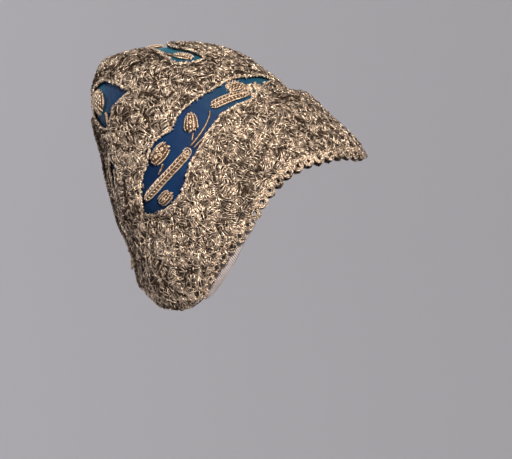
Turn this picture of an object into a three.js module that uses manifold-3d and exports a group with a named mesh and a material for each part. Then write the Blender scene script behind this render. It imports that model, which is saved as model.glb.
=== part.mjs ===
// A stiff cap of blue silk under gilt metal lace, as worn: a blunt cone that leans back from the brow,
// with a rounded lobe behind each ear. Lengths are in millimetres, +Z is up and the face looks along -Y.
// The cap is built upright on its own axis in a group, and the group leans back as the cap does on a head.
// The origin is the middle of the head opening, where the head holds the cap.

import * as THREE from "three";
import { mergeVertices } from "three/addons/utils/BufferGeometryUtils.js";
import Module from "manifold-3d";

const wasm = await Module();
wasm.setup();

// The cap as a whole, measured on the outside of the silk.
const capLength = 167;
const capWidth = 152;
const capHeight = 156;
const leanBack = 38.7; // degrees from upright, as a head wears it

// Cloth, lace and trimming.
const silkWall = 1.6;
const laceWall = 2;
const clearance = 0.35; // air between neighbours that are sewn together
const edgingWall = 1.5;
const edgingDepth = 7.5;
const scallopPitch = 8.6;
const scallopNotch = 2.6; // how far the edge draws back between two scallops
const scallopHole = 2.4; // across the hole pierced in each scallop
const scallopRow = 0.45; // the height of the holes, as a share of the edging's depth
const tapeWall = 0.9;
const tapePeek = 5; // how far it shows below the rim at its widest
const braidWidth = 7;
const braidRise = 2;
const braidTop = 0.85; // where the braid ends, as a share of capHeight

// Raised embroidery: half of each motif's greatest width, and how far it rises.
const strapHalf = 3;
const stemHalf = 0.7;
const berryHalf = 5.4;
const rosebudHalf = 4.9;
const leafHalf = 4;
const budHalf = 3.4;
const petalHalf = 8.6;
const strapRise = 2.6;
const budRise = 3.2;
const leafRise = 2.2;
const stemRise = 1.3;
const endRise = 0.35; // the rise that a motif keeps where it runs out, as a share

// How finely the forms are faceted. Silk and lace share their columns and rows, so that they run parallel.
const columns = 56;
const bandRows = 4;
const windowRows = 2;
const crownRows = 7;
const scallopSteps = 3;
const holeSides = 4;
const braidSteps = 14;
const rimSamples = 1200; // short steps that measure the length of the rim
const footSpan = 2.5; // the widest flat under a motif, for each side

// Level sections up the axis. Height is a share of capHeight; front and back are the reach from the
// axis as shares of capLength, and side is the reach to each side as a share of capWidth.
const sections = [
  { height: -0.05, front: 0.488, back: 0.492, side: 0.492 },
  { height: 0.06, front: 0.5, back: 0.5, side: 0.5 },
  { height: 0.16, front: 0.492, back: 0.49, side: 0.494 },
  { height: 0.257, front: 0.478, back: 0.45, side: 0.47 },
  { height: 0.362, front: 0.464, back: 0.416, side: 0.44 },
  { height: 0.43, front: 0.418, back: 0.401, side: 0.417 },
  { height: 0.514, front: 0.402, back: 0.367, side: 0.391 },
  { height: 0.623, front: 0.374, back: 0.322, side: 0.352 },
  { height: 0.706, front: 0.339, back: 0.281, side: 0.312 },
  { height: 0.79, front: 0.28, back: 0.249, side: 0.264 },
  { height: 0.861, front: 0.205, back: 0.215, side: 0.211 },
  { height: 0.918, front: 0.129, back: 0.181, side: 0.155 },
  { height: 0.957, front: 0.05, back: 0.143, side: 0.102 },
  { height: 0.986, front: -0.012, back: 0.104, side: 0.052 },
  { height: 1, front: -0.064, back: 0.064, side: 0 },
];

// The rim, from the centre front round to the centre back: it arches over the temple, drops to the
// lobe behind the ear and rises to the nape. Angles are in degrees, heights are shares of capHeight.
const rim = [
  { angle: 0, height: 0.012 },
  { angle: 15, height: 0.01 },
  { angle: 34, height: 0.067 },
  { angle: 45, height: 0.1 },
  { angle: 54, height: 0.128 },
  { angle: 63, height: 0.139 },
  { angle: 73, height: 0.134 },
  { angle: 86, height: 0.097 },
  { angle: 97, height: 0.063 },
  { angle: 109, height: 0.036 },
  { angle: 122, height: 0.002 },
  { angle: 132, height: -0.027 },
  { angle: 141, height: -0.026 },
  { angle: 151, height: 0 },
  { angle: 165, height: 0.058 },
  { angle: 173, height: 0.113 },
  { angle: 180, height: 0.15 },
];

// The edging runs along the face from lobe to lobe, and its ends taper away into the band of lace.
const edging = [
  { angle: 0, depth: 1 },
  { angle: 118, depth: 1 },
  { angle: 124, depth: 0.75 },
  { angle: 130, depth: 0.35 },
  { angle: 136, depth: 0 },
  { angle: 180, depth: 0 },
];
const edgingEnd = 131;

// The top of the band of lace and the foot of the crown's lace. Silk shows where they part.
const laceMeeting = [
  { angle: 0, band: 0.487, crown: 0.487 },
  { angle: 11, band: 0.5, crown: 0.5 },
  { angle: 16, band: 0.503, crown: 0.53 },
  { angle: 26, band: 0.507, crown: 0.562 },
  { angle: 36, band: 0.505, crown: 0.585 },
  { angle: 46, band: 0.49, crown: 0.612 },
  { angle: 57, band: 0.507, crown: 0.62 },
  { angle: 66, band: 0.515, crown: 0.628 },
  { angle: 76, band: 0.505, crown: 0.634 },
  { angle: 89, band: 0.468, crown: 0.63 },
  { angle: 98, band: 0.437, crown: 0.602 },
  { angle: 108, band: 0.385, crown: 0.604 },
  { angle: 114, band: 0.362, crown: 0.598 },
  { angle: 124, band: 0.352, crown: 0.545 },
  { angle: 133, band: 0.362, crown: 0.5 },
  { angle: 138, band: 0.385, crown: 0.43 },
  { angle: 142, band: 0.4, crown: 0.4 },
  { angle: 160, band: 0.405, crown: 0.405 },
  { angle: 180, band: 0.405, crown: 0.405 },
];

// Windows cut through the crown's lace, each from its low edge to its high edge, as shares of capHeight.
const topWindow = [
  { angle: -60, low: 0.797, high: 0.812 },
  { angle: -53, low: 0.76, high: 0.852 },
  { angle: -42, low: 0.745, high: 0.896 },
  { angle: -36, low: 0.795, high: 0.916 },
  { angle: -26, low: 0.868, high: 0.938 },
  { angle: 0, low: 0.893, high: 0.955 },
  { angle: 26, low: 0.868, high: 0.938 },
  { angle: 36, low: 0.795, high: 0.916 },
  { angle: 42, low: 0.745, high: 0.896 },
  { angle: 53, low: 0.76, high: 0.852 },
  { angle: 60, low: 0.797, high: 0.812 },
];
const backWindow = [
  { angle: 106, low: 0.835, high: 0.85 },
  { angle: 111, low: 0.83, high: 0.895 },
  { angle: 118, low: 0.829, high: 0.93 },
  { angle: 128, low: 0.828, high: 0.943 },
  { angle: 136, low: 0.804, high: 0.945 },
  { angle: 146, low: 0.769, high: 0.945 },
  { angle: 156, low: 0.79, high: 0.945 },
  { angle: 167, low: 0.82, high: 0.94 },
  { angle: 174, low: 0.84, high: 0.93 },
];
const seamWindow = [
  { angle: 155, low: 0.62, high: 0.67 },
  { angle: 159, low: 0.57, high: 0.672 },
  { angle: 164, low: 0.53, high: 0.64 },
  { angle: 168, low: 0.525, high: 0.56 },
];

// Shallow dents and swells that wear has left in the cap: where, how wide and how deep.
const dents = [
  { angle: 118, height: 0.7, spreadAngle: 26, spreadHeight: 0.12, depth: 1.6 },
  { angle: 62, height: 0.72, spreadAngle: 18, spreadHeight: 0.08, depth: -1.1 },
  { angle: 30, height: 0.56, spreadAngle: 22, spreadHeight: 0.09, depth: 0.8 },
  { angle: 148, height: 0.3, spreadAngle: 22, spreadHeight: 0.12, depth: 1.5 },
];
const dentFade = 4; // dents die away over the last quarter of the climb

const colours = {
  silk: { color: 0x143d70, roughness: 0.42, metalness: 0 },
  lace: { color: 0x8f7a5f, roughness: 0.45, metalness: 0.75 },
  edging: { color: 0x9a8568, roughness: 0.42, metalness: 0.75 },
  embroidery: { color: 0xa88f66, roughness: 0.38, metalness: 0.8 },
  tape: { color: 0xb3a39c, roughness: 0.85, metalness: 0 },
};

// A smooth curve through one column of a table, with no overshoot between its rows.
function curve(rows, key, column) {
  const x = rows.map((row) => row[key]);
  const y = rows.map((row) => row[column]);
  const last = rows.length - 1;
  const chord = x.slice(1).map((_, i) => (y[i + 1] - y[i]) / (x[i + 1] - x[i]));
  const slope = x.map((_, i) => {
    const before = chord[Math.max(i - 1, 0)];
    const after = chord[Math.min(i, last - 1)];
    return before * after <= 0 ? 0 : (2 * before * after) / (before + after);
  });
  slope[0] = chord[0];
  slope[last] = chord[last - 1];
  return (value) => {
    const at = Math.min(Math.max(value, x[0]), x[last]);
    let i = 0;
    while (i < last - 1 && at > x[i + 1]) i++;
    const step = x[i + 1] - x[i];
    const t = (at - x[i]) / step;
    const rise = y[i] * (1 + 2 * t) * (1 - t) ** 2 + y[i + 1] * t * t * (3 - 2 * t);
    return rise + step * (slope[i] * t * (1 - t) ** 2 - slope[i + 1] * t * t * (1 - t));
  };
}

// The climb runs evenly over the dome: 0 is the plane of the rim and 1 is the top.
const climbOf = (share) => 1 - Math.sqrt(Math.max(0, 1 - share));
const shareOf = (climb) => 1 - (1 - climb) ** 2;

const climbed = sections.map((row) => ({ ...row, climb: climbOf(row.height) }));
const frontReach = curve(climbed, "climb", "front");
const backReach = curve(climbed, "climb", "back");
const sideReach = curve(climbed, "climb", "side");

// An angle as its distance from the centre front, 0 to 180 degrees: the cap is alike on both sides.
const fromFront = (angle) => Math.abs(((angle + 540) % 360) - 180);

const rimShare = curve(rim, "angle", "height");
const edgingShare = curve(edging, "angle", "depth");
const bandShare = curve(laceMeeting, "angle", "band");
const crownShare = curve(laceMeeting, "angle", "crown");
const rimHeight = (angle) => capHeight * rimShare(fromFront(angle));
const bandFoot = (angle) => rimHeight(angle) + edgingDepth * edgingShare(fromFront(angle));
const bandTop = (angle) => capHeight * bandShare(fromFront(angle));
const crownFoot = (angle) => capHeight * crownShare(fromFront(angle)) + clearance;

function dentDepth(angle, share) {
  return dents.reduce((sum, dent) => {
    const turn = (fromFront(angle) - dent.angle) / dent.spreadAngle;
    const climb = (share - dent.height) / dent.spreadHeight;
    return sum + dent.depth * Math.exp(-turn * turn - climb * climb);
  }, 0);
}

// A point on the outside of the silk. Angle 0 is the centre front and 90 the wearer's right.
function silkPoint(angle, climb) {
  const turn = THREE.MathUtils.degToRad(angle);
  const share = shareOf(climb);
  const front = frontReach(climb) * capLength;
  const back = backReach(climb) * capLength;
  const dent = dentDepth(angle, share) * Math.min(1, dentFade * (1 - climb));
  const halfLength = (front + back) / 2 - dent;
  const halfWidth = sideReach(climb) * capWidth - dent;
  const middle = (front - back) / 2;
  return new THREE.Vector3(
    -halfWidth * Math.sin(turn),
    -(middle + halfLength * Math.cos(turn)),
    share * capHeight,
  );
}

const topClimb = 0.995; // just short of the top, where the sections close to a point

function silkNormal(angle, climb) {
  const at = Math.min(climb, topClimb);
  const round = silkPoint(angle - 1, at).sub(silkPoint(angle + 1, at));
  const upward = silkPoint(angle, at + 0.004).sub(silkPoint(angle, at - 0.004));
  return round.cross(upward).normalize();
}

// A point that stands off the silk by an offset, outwards where it is positive.
function capPoint(angle, climb, offset) {
  const normal = climb >= 1 ? new THREE.Vector3(0, 0, 1) : silkNormal(angle, climb);
  return silkPoint(angle, climb).addScaledVector(normal, offset);
}

function solid(points, triangles) {
  const geometry = new THREE.BufferGeometry();
  geometry.setAttribute(
    "position",
    new THREE.Float32BufferAttribute(points.flatMap((p) => p.toArray()), 3),
  );
  geometry.setIndex(triangles);
  geometry.computeVertexNormals();
  return geometry;
}

// Even steps of climb between two heights, both ends included.
function climbs(low, high, rows) {
  const from = climbOf(low / capHeight);
  const to = climbOf(high / capHeight);
  return Array.from({ length: rows + 1 }, (_, i) => from + ((to - from) * i) / rows);
}

// A wall that follows the silk between two offsets. climb(angle) lists the levels of its rows, and the
// wall closes on itself where it runs all the way round. A domed wall closes at the top of the cap.
function wall({ angles, closed, domed, climb, inner, outer }) {
  const points = [];
  const triangles = [];
  const quad = (a, b, c, d) => triangles.push(a, b, c, a, c, d);
  const grid = angles.map((angle) => climb(angle));
  const levels = grid[0].length;
  const face = (offset) => {
    const start = points.length;
    angles.forEach((angle, i) => grid[i].forEach((level) => points.push(capPoint(angle, level, offset))));
    if (domed) points.push(capPoint(0, 1, offset));
    return start;
  };
  const outside = face(outer);
  const inside = face(inner);
  const at = (start, i, j) => start + (i % angles.length) * levels + j;
  const spans = closed ? angles.length : angles.length - 1;
  const top = levels - 1;
  for (let i = 0; i < spans; i++) {
    for (let j = 0; j < top; j++) {
      quad(at(outside, i, j), at(outside, i, j + 1), at(outside, i + 1, j + 1), at(outside, i + 1, j));
      quad(at(inside, i, j), at(inside, i + 1, j), at(inside, i + 1, j + 1), at(inside, i, j + 1));
    }
    quad(at(inside, i, 0), at(outside, i, 0), at(outside, i + 1, 0), at(inside, i + 1, 0));
    if (domed) {
      const peaks = [outside, inside].map((start) => start + angles.length * levels);
      triangles.push(at(outside, i, top), peaks[0], at(outside, i + 1, top));
      triangles.push(at(inside, i, top), at(inside, i + 1, top), peaks[1]);
    } else {
      quad(at(outside, i, top), at(inside, i, top), at(inside, i + 1, top), at(outside, i + 1, top));
    }
  }
  if (!closed) {
    const end = angles.length - 1;
    for (let j = 0; j < top; j++) {
      quad(at(inside, 0, j), at(inside, 0, j + 1), at(outside, 0, j + 1), at(outside, 0, j));
      quad(at(outside, end, j), at(outside, end, j + 1), at(inside, end, j + 1), at(inside, end, j));
    }
  }
  return solid(points, triangles);
}

const allRound = Array.from({ length: columns }, (_, i) => (360 * i) / columns);

// Even steps between two angles, always in the same sense round the cap.
function spanAngles(from, to, steps) {
  const step = Math.abs(to - from) / steps;
  return Array.from({ length: steps + 1 }, (_, i) => Math.min(from, to) + step * i);
}

// A domed ridge laid on the cap along a path, such as a strap, a stem or a petal. The path's places are
// angles and shares of capHeight, and each carries half the ridge's width there.
function ridge({ path, steps, base, rise }) {
  const stops = path.map((place, i) => ({ ...place, along: i / (path.length - 1) }));
  const angleAt = curve(stops, "along", "angle");
  const shareAt = curve(stops, "along", "height");
  const halfAt = curve(stops, "along", "half");
  const widest = Math.max(...path.map((place) => place.half));
  const section = ridgeSection(widest);
  const nudge = 0.01; // a small share of the path, to find which way it runs
  const points = [];
  const triangles = [];
  for (let i = 0; i <= steps; i++) {
    const t = i / steps;
    const angle = angleAt(t);
    const climb = climbOf(shareAt(t));
    const half = halfAt(t);
    const place = (along) => silkPoint(angleAt(along), climbOf(shareAt(along)));
    const ahead = place(Math.min(t + nudge, 1)).sub(place(Math.max(t - nudge, 0)));
    const sideways = silkNormal(angle, climb).cross(ahead).normalize();
    const { turn, lift } = alongSilk(angle, climb, sideways);
    const height = rise * (endRise + (1 - endRise) * Math.sqrt(half / widest));
    section.forEach(({ across, up }) => {
      const reach = half * across;
      points.push(capPoint(angle + turn * reach, climb + lift * reach, base + height * up));
    });
  }
  const n = section.length;
  for (let i = 0; i < steps; i++) {
    for (let k = 0; k < n; k++) {
      const a = i * n + k;
      const b = i * n + ((k + 1) % n);
      triangles.push(a, b + n, a + n, a, b, b + n);
    }
  }
  const end = steps * n;
  const crest = section.findIndex(({ up }) => up === 1);
  for (let k = 1; k < n - 1; k++) {
    const a = (crest + k) % n;
    const b = (crest + k + 1) % n;
    triangles.push(crest, b, a, end + crest, end + a, end + b);
  }
  return solid(points, triangles);
}

// A ridge's cross section: across is a share of the half width and up is a share of the rise. A wide
// ridge has more points, so that its underside follows the silk.
function ridgeSection(widest) {
  const spans = Math.max(1, Math.round(widest / footSpan));
  const under = Array.from({ length: spans + 1 }, (_, i) => ({ across: (2 * i) / spans - 1, up: 0 }));
  const over = [
    { across: 0.9, up: 0.55 },
    { across: 0.5, up: 0.88 },
    { across: 0, up: 1 },
    { across: -0.5, up: 0.88 },
    { across: -0.9, up: 0.55 },
  ];
  return [...under, ...over.filter((_, i) => spans > 1 || i % 2 === 0)];
}

// How far to turn and to climb for each millimetre in a direction that lies along the silk.
function alongSilk(angle, climb, direction) {
  const perTurn = silkPoint(angle + 0.5, climb).sub(silkPoint(angle - 0.5, climb));
  const perClimb = silkPoint(angle, climb + 0.005).sub(silkPoint(angle, climb - 0.005)).multiplyScalar(100);
  const [a, b, c] = [perTurn.lengthSq(), perTurn.dot(perClimb), perClimb.lengthSq()];
  const [u, v] = [perTurn.dot(direction), perClimb.dot(direction)];
  const spread = a * c - b * b;
  return { turn: (u * c - v * b) / spread, lift: (v * a - u * b) / spread };
}

function toManifold(geometry) {
  const bare = new THREE.BufferGeometry();
  bare.setAttribute("position", geometry.getAttribute("position").clone());
  bare.setIndex(geometry.index ? geometry.index.clone() : null);
  const merged = mergeVertices(bare, 1e-4);
  return new wasm.Manifold(
    new wasm.Mesh({
      numProp: 3,
      vertProperties: new Float32Array(merged.getAttribute("position").array),
      triVerts: new Uint32Array(merged.index.array),
    }),
  );
}

function toGeometry(body) {
  const { numProp, vertProperties, triVerts } = body.getMesh();
  const positions = [];
  for (let i = 0; i < vertProperties.length; i += numProp) {
    positions.push(vertProperties[i], vertProperties[i + 1], vertProperties[i + 2]);
  }
  const geometry = new THREE.BufferGeometry();
  geometry.setAttribute("position", new THREE.Float32BufferAttribute(positions, 3));
  geometry.setIndex([...triVerts]);
  geometry.computeVertexNormals();
  return geometry;
}

const cutWith = (geometry, cutters) =>
  toGeometry(cutters.reduce((body, cutter) => body.subtract(toManifold(cutter)), toManifold(geometry)));

// A plug that follows the silk right through the lace, in the shape of a window.
function windowPlug(rows, side = 1) {
  const low = curve(rows, "angle", "low");
  const high = curve(rows, "angle", "high");
  const first = rows[0].angle;
  const last = rows[rows.length - 1].angle;
  return wall({
    angles: spanAngles(first * side, last * side, rows.length),
    climb: (angle) => climbs(capHeight * low(angle * side), capHeight * high(angle * side), 1),
    inner: -silkWall,
    outer: laceWall * 3,
  });
}

const bandLevels = (angle) => climbs(bandFoot(angle) + clearance, bandTop(angle), bandRows);
const crownLevels = (angle) => climbs(crownFoot(angle), capHeight, crownRows).slice(0, -1);

function silkLevels(angle) {
  const lace = bandLevels(angle);
  const foot = climbOf((bandFoot(angle) - 2 * clearance) / capHeight);
  const between = climbs(bandTop(angle), crownFoot(angle), windowRows).slice(1, -1);
  return [foot, ...lace.slice(1), ...between, ...crownLevels(angle)];
}

function silkCap() {
  return wall({
    angles: allRound,
    closed: true,
    domed: true,
    climb: silkLevels,
    inner: -silkWall,
    outer: 0,
  });
}

function bandLace() {
  return wall({
    angles: allRound,
    closed: true,
    climb: bandLevels,
    inner: clearance,
    outer: clearance + laceWall,
  });
}

function crownLace() {
  const whole = wall({
    angles: allRound,
    closed: true,
    domed: true,
    climb: crownLevels,
    inner: clearance,
    outer: clearance + laceWall,
  });
  const plugs = [windowPlug(topWindow)];
  for (const side of [1, -1]) plugs.push(windowPlug(backWindow, side), windowPlug(seamWindow, side));
  return cutWith(whole, plugs);
}

// Even steps of length along the rim, from one end of the edging to the other.
function edgingAngles() {
  const angleOf = (i) => edgingEnd * ((2 * i) / rimSamples - 1);
  const rimPoint = (i) => silkPoint(angleOf(i), climbOf(rimShare(fromFront(angleOf(i)))));
  const lengths = [0];
  for (let i = 1; i <= rimSamples; i++) {
    lengths.push(lengths[i - 1] + rimPoint(i).distanceTo(rimPoint(i - 1)));
  }
  const rimLength = lengths[rimSamples];
  const count = Math.round(rimLength / scallopPitch) * scallopSteps;
  let i = 0;
  return Array.from({ length: count + 1 }, (_, step) => {
    const target = (rimLength * step) / count;
    while (i < rimSamples - 1 && lengths[i + 1] < target) i++;
    return angleOf(i + (target - lengths[i]) / (lengths[i + 1] - lengths[i]));
  });
}

// The foot of the band runs straight from column to column, and the edging meets it there.
function straightFoot(angle) {
  const column = (angle * columns) / 360;
  const before = Math.floor(column);
  const [low, high] = [before, before + 1].map((i) => bandFoot((360 * i) / columns));
  return low + (high - low) * (column - before);
}

function scallopEdging() {
  const angles = edgingAngles();
  const phase = new Map(angles.map((angle, i) => [angle, (i % scallopSteps) / scallopSteps]));
  const depth = (angle) => bandFoot(angle) - rimHeight(angle);
  const notch = (angle) => (scallopNotch / edgingDepth) * depth(angle);
  const strip = wall({
    angles,
    climb: (angle) => {
      const drawnBack = 1 - Math.sin(Math.PI * phase.get(angle));
      return climbs(rimHeight(angle) + notch(angle) * drawnBack, straightFoot(angle), 1);
    },
    inner: clearance,
    outer: clearance + edgingWall,
  });
  const middles = angles.slice(0, -1).map((angle, i) => (angle + angles[i + 1]) / 2);
  const holes = middles
    .filter((angle, i) => i % scallopSteps === 1 && depth(angle) > 2 * scallopHole)
    .map((angle) => {
      const climb = climbOf((rimHeight(angle) + depth(angle) * scallopRow) / capHeight);
      const hole = new THREE.CylinderGeometry(scallopHole / 2, scallopHole / 2, edgingWall * 5, holeSides);
      const toNormal = new THREE.Quaternion().setFromUnitVectors(
        new THREE.Vector3(0, 1, 0),
        silkNormal(angle, climb),
      );
      hole.deleteAttribute("normal").deleteAttribute("uv");
      hole.applyQuaternion(toNormal);
      hole.translate(...capPoint(angle, climb, edgingWall).toArray());
      return hole;
    });
  return cutWith(strip, holes);
}

// The ribbed tape inside each lobe: it shows below the rim in a crescent.
const tapeReach = [
  { angle: 90, peek: 0.2 },
  { angle: 99, peek: 0.35 },
  { angle: 110, peek: 0.95 },
  { angle: 120, peek: 1 },
  { angle: 129, peek: 0.6 },
  { angle: 135, peek: 0.3 },
];

function liningTape(side) {
  const peek = curve(tapeReach, "angle", "peek");
  const first = tapeReach[0].angle;
  const last = tapeReach[tapeReach.length - 1].angle;
  const outer = -silkWall - clearance;
  return wall({
    angles: spanAngles(first * side, last * side, ((last - first) * columns) / 360),
    climb: (angle) => {
      const foot = climbOf((rimHeight(angle) - tapePeek * peek(angle * side)) / capHeight);
      return [foot, ...silkLevels(angle).slice(0, 2)];
    },
    inner: outer - tapeWall,
    outer,
  });
}

// The braid that covers the seam, from the nape to the foot of the back petals.
function backBraid() {
  const top = climbOf(braidTop);
  const foot = climbOf((rimHeight(180) + 4 * clearance) / capHeight);
  const path = [0, 0.25, 0.5, 0.75, 1].map((t) => ({
    angle: 180,
    height: shareOf(foot + (top - foot) * t),
    half: braidWidth / 2,
  }));
  return ridge({ path, steps: braidSteps, base: laceWall + 2 * clearance, rise: braidRise });
}

// Raised embroidery on one side of the cap. Places are angles from the centre front and shares of
// capHeight, and half is half the motif's width there.
const sideMotifs = {
  corn_strap: {
    rise: strapRise,
    steps: 9,
    path: [
      { angle: 134, height: 0.4415, half: strapHalf * 0.5 },
      { angle: 128, height: 0.448, half: strapHalf },
      { angle: 116.8, height: 0.459, half: strapHalf },
      { angle: 105, height: 0.471, half: strapHalf },
      { angle: 99, height: 0.478, half: strapHalf * 0.95 },
      { angle: 96.5, height: 0.481, half: strapHalf * 0.4 },
    ],
  },
  tulip_strap: {
    rise: strapRise,
    steps: 8,
    path: [
      { angle: 70, height: 0.572, half: strapHalf * 0.4 },
      { angle: 67, height: 0.569, half: strapHalf },
      { angle: 57, height: 0.553, half: strapHalf },
      { angle: 49, height: 0.533, half: strapHalf * 0.85 },
      { angle: 44, height: 0.52, half: strapHalf * 0.3 },
    ],
  },
  berry: {
    rise: budRise,
    steps: 6,
    path: [
      { angle: 119.2, height: 0.54, half: berryHalf * 0.3 },
      { angle: 116.7, height: 0.546, half: berryHalf * 0.85 },
      { angle: 111.7, height: 0.553, half: berryHalf },
      { angle: 107.2, height: 0.558, half: berryHalf * 0.78 },
      { angle: 105.2, height: 0.56, half: berryHalf * 0.26 },
    ],
  },
  rosebud: {
    rise: budRise,
    steps: 6,
    path: [
      { angle: 88.8, height: 0.542, half: rosebudHalf * 0.53 },
      { angle: 87.6, height: 0.556, half: rosebudHalf },
      { angle: 85, height: 0.582, half: rosebudHalf * 0.86 },
      { angle: 83, height: 0.606, half: rosebudHalf * 0.33 },
    ],
  },
  point_leaf: {
    rise: leafRise,
    steps: 5,
    path: [
      { angle: 53.5, height: 0.583, half: leafHalf * 0.2 },
      { angle: 49, height: 0.58, half: leafHalf * 0.75 },
      { angle: 44.5, height: 0.568, half: leafHalf * 0.65 },
      { angle: 41.5, height: 0.555, half: leafHalf * 0.2 },
    ],
  },
  loop_leaf: {
    rise: leafRise,
    steps: 5,
    path: [
      { angle: 126.8, height: 0.392, half: leafHalf * 0.45 },
      { angle: 125, height: 0.393, half: leafHalf * 0.9 },
      { angle: 121, height: 0.397, half: leafHalf },
      { angle: 117.6, height: 0.402, half: leafHalf * 0.6 },
    ],
  },
  berry_stem: {
    rise: stemRise,
    steps: 3,
    path: [
      { angle: 118.2, height: 0.489, half: stemHalf },
      { angle: 115.2, height: 0.5, half: stemHalf },
      { angle: 113.2, height: 0.511, half: stemHalf },
    ],
  },
  rosebud_stem: {
    rise: stemRise,
    steps: 3,
    path: [
      { angle: 91, height: 0.513, half: stemHalf },
      { angle: 90, height: 0.52, half: stemHalf },
      { angle: 88.3, height: 0.532, half: stemHalf },
    ],
  },
  long_stem: {
    rise: stemRise,
    steps: 6,
    path: [
      { angle: 93.6, height: 0.497, half: stemHalf },
      { angle: 88, height: 0.506, half: stemHalf },
      { angle: 81, height: 0.522, half: stemHalf },
      { angle: 74.5, height: 0.548, half: stemHalf },
      { angle: 72.6, height: 0.562, half: stemHalf },
    ],
  },
  short_stem: {
    rise: stemRise,
    steps: 3,
    path: [
      { angle: 92, height: 0.482, half: stemHalf },
      { angle: 88.5, height: 0.487, half: stemHalf },
      { angle: 84.5, height: 0.49, half: stemHalf },
    ],
  },
  top_side_bud: {
    rise: leafRise,
    steps: 5,
    path: [
      { angle: 45.5, height: 0.783, half: budHalf * 0.29 },
      { angle: 45, height: 0.797, half: budHalf * 0.88 },
      { angle: 45, height: 0.822, half: budHalf * 0.94 },
      { angle: 45.5, height: 0.843, half: budHalf * 0.35 },
    ],
  },
  top_stem: {
    rise: stemRise,
    steps: 4,
    path: [
      { angle: 46, height: 0.849, half: stemHalf },
      { angle: 46, height: 0.862, half: stemHalf },
      { angle: 44, height: 0.876, half: stemHalf },
    ],
  },
  back_petal: {
    rise: leafRise,
    steps: 7,
    path: [
      { angle: 161, height: 0.85, half: petalHalf * 0.65 },
      { angle: 159, height: 0.866, half: petalHalf * 0.88 },
      { angle: 157, height: 0.89, half: petalHalf },
      { angle: 154, height: 0.912, half: petalHalf * 0.81 },
      { angle: 151, height: 0.93, half: petalHalf * 0.42 },
    ],
  },
  back_stem: {
    rise: stemRise,
    steps: 3,
    path: [
      { angle: 147, height: 0.787, half: stemHalf },
      { angle: 145, height: 0.812, half: stemHalf },
      { angle: 143.5, height: 0.834, half: stemHalf },
    ],
  },
};

const topBud = {
  rise: leafRise,
  steps: 5,
  path: [
    { angle: 0, height: 0.905, half: budHalf * 0.35 },
    { angle: 0, height: 0.915, half: budHalf * 0.94 },
    { angle: 0, height: 0.932, half: budHalf },
    { angle: 0, height: 0.944, half: budHalf * 0.35 },
  ],
};

const mirrored = (motif) => ({
  ...motif,
  path: motif.path.map((place) => ({ ...place, angle: -place.angle })),
});

const materials = Object.fromEntries(
  Object.entries(colours).map(([name, look]) => [name, new THREE.MeshStandardMaterial(look)]),
);

const cap = new THREE.Group();
function sew(name, geometry, material) {
  const piece = new THREE.Mesh(geometry, material);
  piece.name = name;
  cap.add(piece);
}

sew("silk_cap", silkCap(), materials.silk);
sew("band_lace", bandLace(), materials.lace);
sew("crown_lace", crownLace(), materials.lace);
sew("scallop_edging", scallopEdging(), materials.edging);
sew("back_braid", backBraid(), materials.edging);
sew("lining_tape_right", liningTape(1), materials.tape);
sew("lining_tape_left", liningTape(-1), materials.tape);
for (const [name, motif] of Object.entries(sideMotifs)) {
  sew(name + "_right", ridge({ base: clearance, ...motif }), materials.embroidery);
  sew(name + "_left", ridge({ base: clearance, ...mirrored(motif) }), materials.embroidery);
}
sew("top_bud", ridge({ base: clearance, ...topBud }), materials.embroidery);

cap.rotation.x = -THREE.MathUtils.degToRad(leanBack);
const worn = new THREE.Group();
worn.add(cap);

export default worn;
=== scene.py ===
# %% [markdown]
# A stiff cap of blue silk under gilt metal lace, as a head wears it. The lace is a dense web of
# metal thread, so most of this lesson is about one small stitch, repeated many thousands of times.
# The model's frame comes first: every piece that follows is placed on the solids that it loads.

# %% Load the frame
import math

import bmesh
import bpy
import numpy as np
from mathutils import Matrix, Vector


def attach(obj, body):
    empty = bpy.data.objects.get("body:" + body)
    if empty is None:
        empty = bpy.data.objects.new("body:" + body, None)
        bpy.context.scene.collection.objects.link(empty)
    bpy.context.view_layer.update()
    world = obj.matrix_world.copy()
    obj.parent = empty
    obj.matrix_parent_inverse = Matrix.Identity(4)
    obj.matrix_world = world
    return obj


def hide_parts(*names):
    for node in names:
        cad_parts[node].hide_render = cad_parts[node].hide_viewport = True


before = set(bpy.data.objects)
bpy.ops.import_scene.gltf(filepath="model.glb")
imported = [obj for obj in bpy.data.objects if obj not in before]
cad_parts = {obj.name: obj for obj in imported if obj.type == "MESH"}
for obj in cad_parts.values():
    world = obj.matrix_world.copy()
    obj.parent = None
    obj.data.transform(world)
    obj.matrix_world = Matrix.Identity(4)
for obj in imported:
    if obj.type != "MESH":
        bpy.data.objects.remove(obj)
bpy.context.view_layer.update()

# %% [markdown]
# The cap is a blunt cone, and its shape is a short table of level sections. One function turns a
# turn round the cap and a climb up it into a point on the silk. All the pieces use that function, so
# they all lie on the same surface. Lengths in the tables are millimetres, angles are degrees from
# the centre front, and heights are shares of the cap's height.

# %% The cap's shape
LENGTH, WIDTH, HEIGHT = 167.0, 152.0, 156.0
LEAN = math.radians(38.7)
SILK_WALL, LACE_WALL, AIR = 1.6, 2.0, 0.35
EDGING_DEPTH, SCALLOP_PITCH, EDGING_END = 7.5, 8.6, 131.0
LACE_FACE = AIR + LACE_WALL
NEAR_TOP = 0.985  # the last climb at which the surface still has a clear direction round it
LOWEST = -0.04  # a share of the height, and a climb, a little below the lobes
DENT_FADE = 4  # how fast the dents die out towards the top
TURN_STEP, CLIMB_STEP = 0.5, 0.004  # how far to each side of a place its directions are measured

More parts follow.
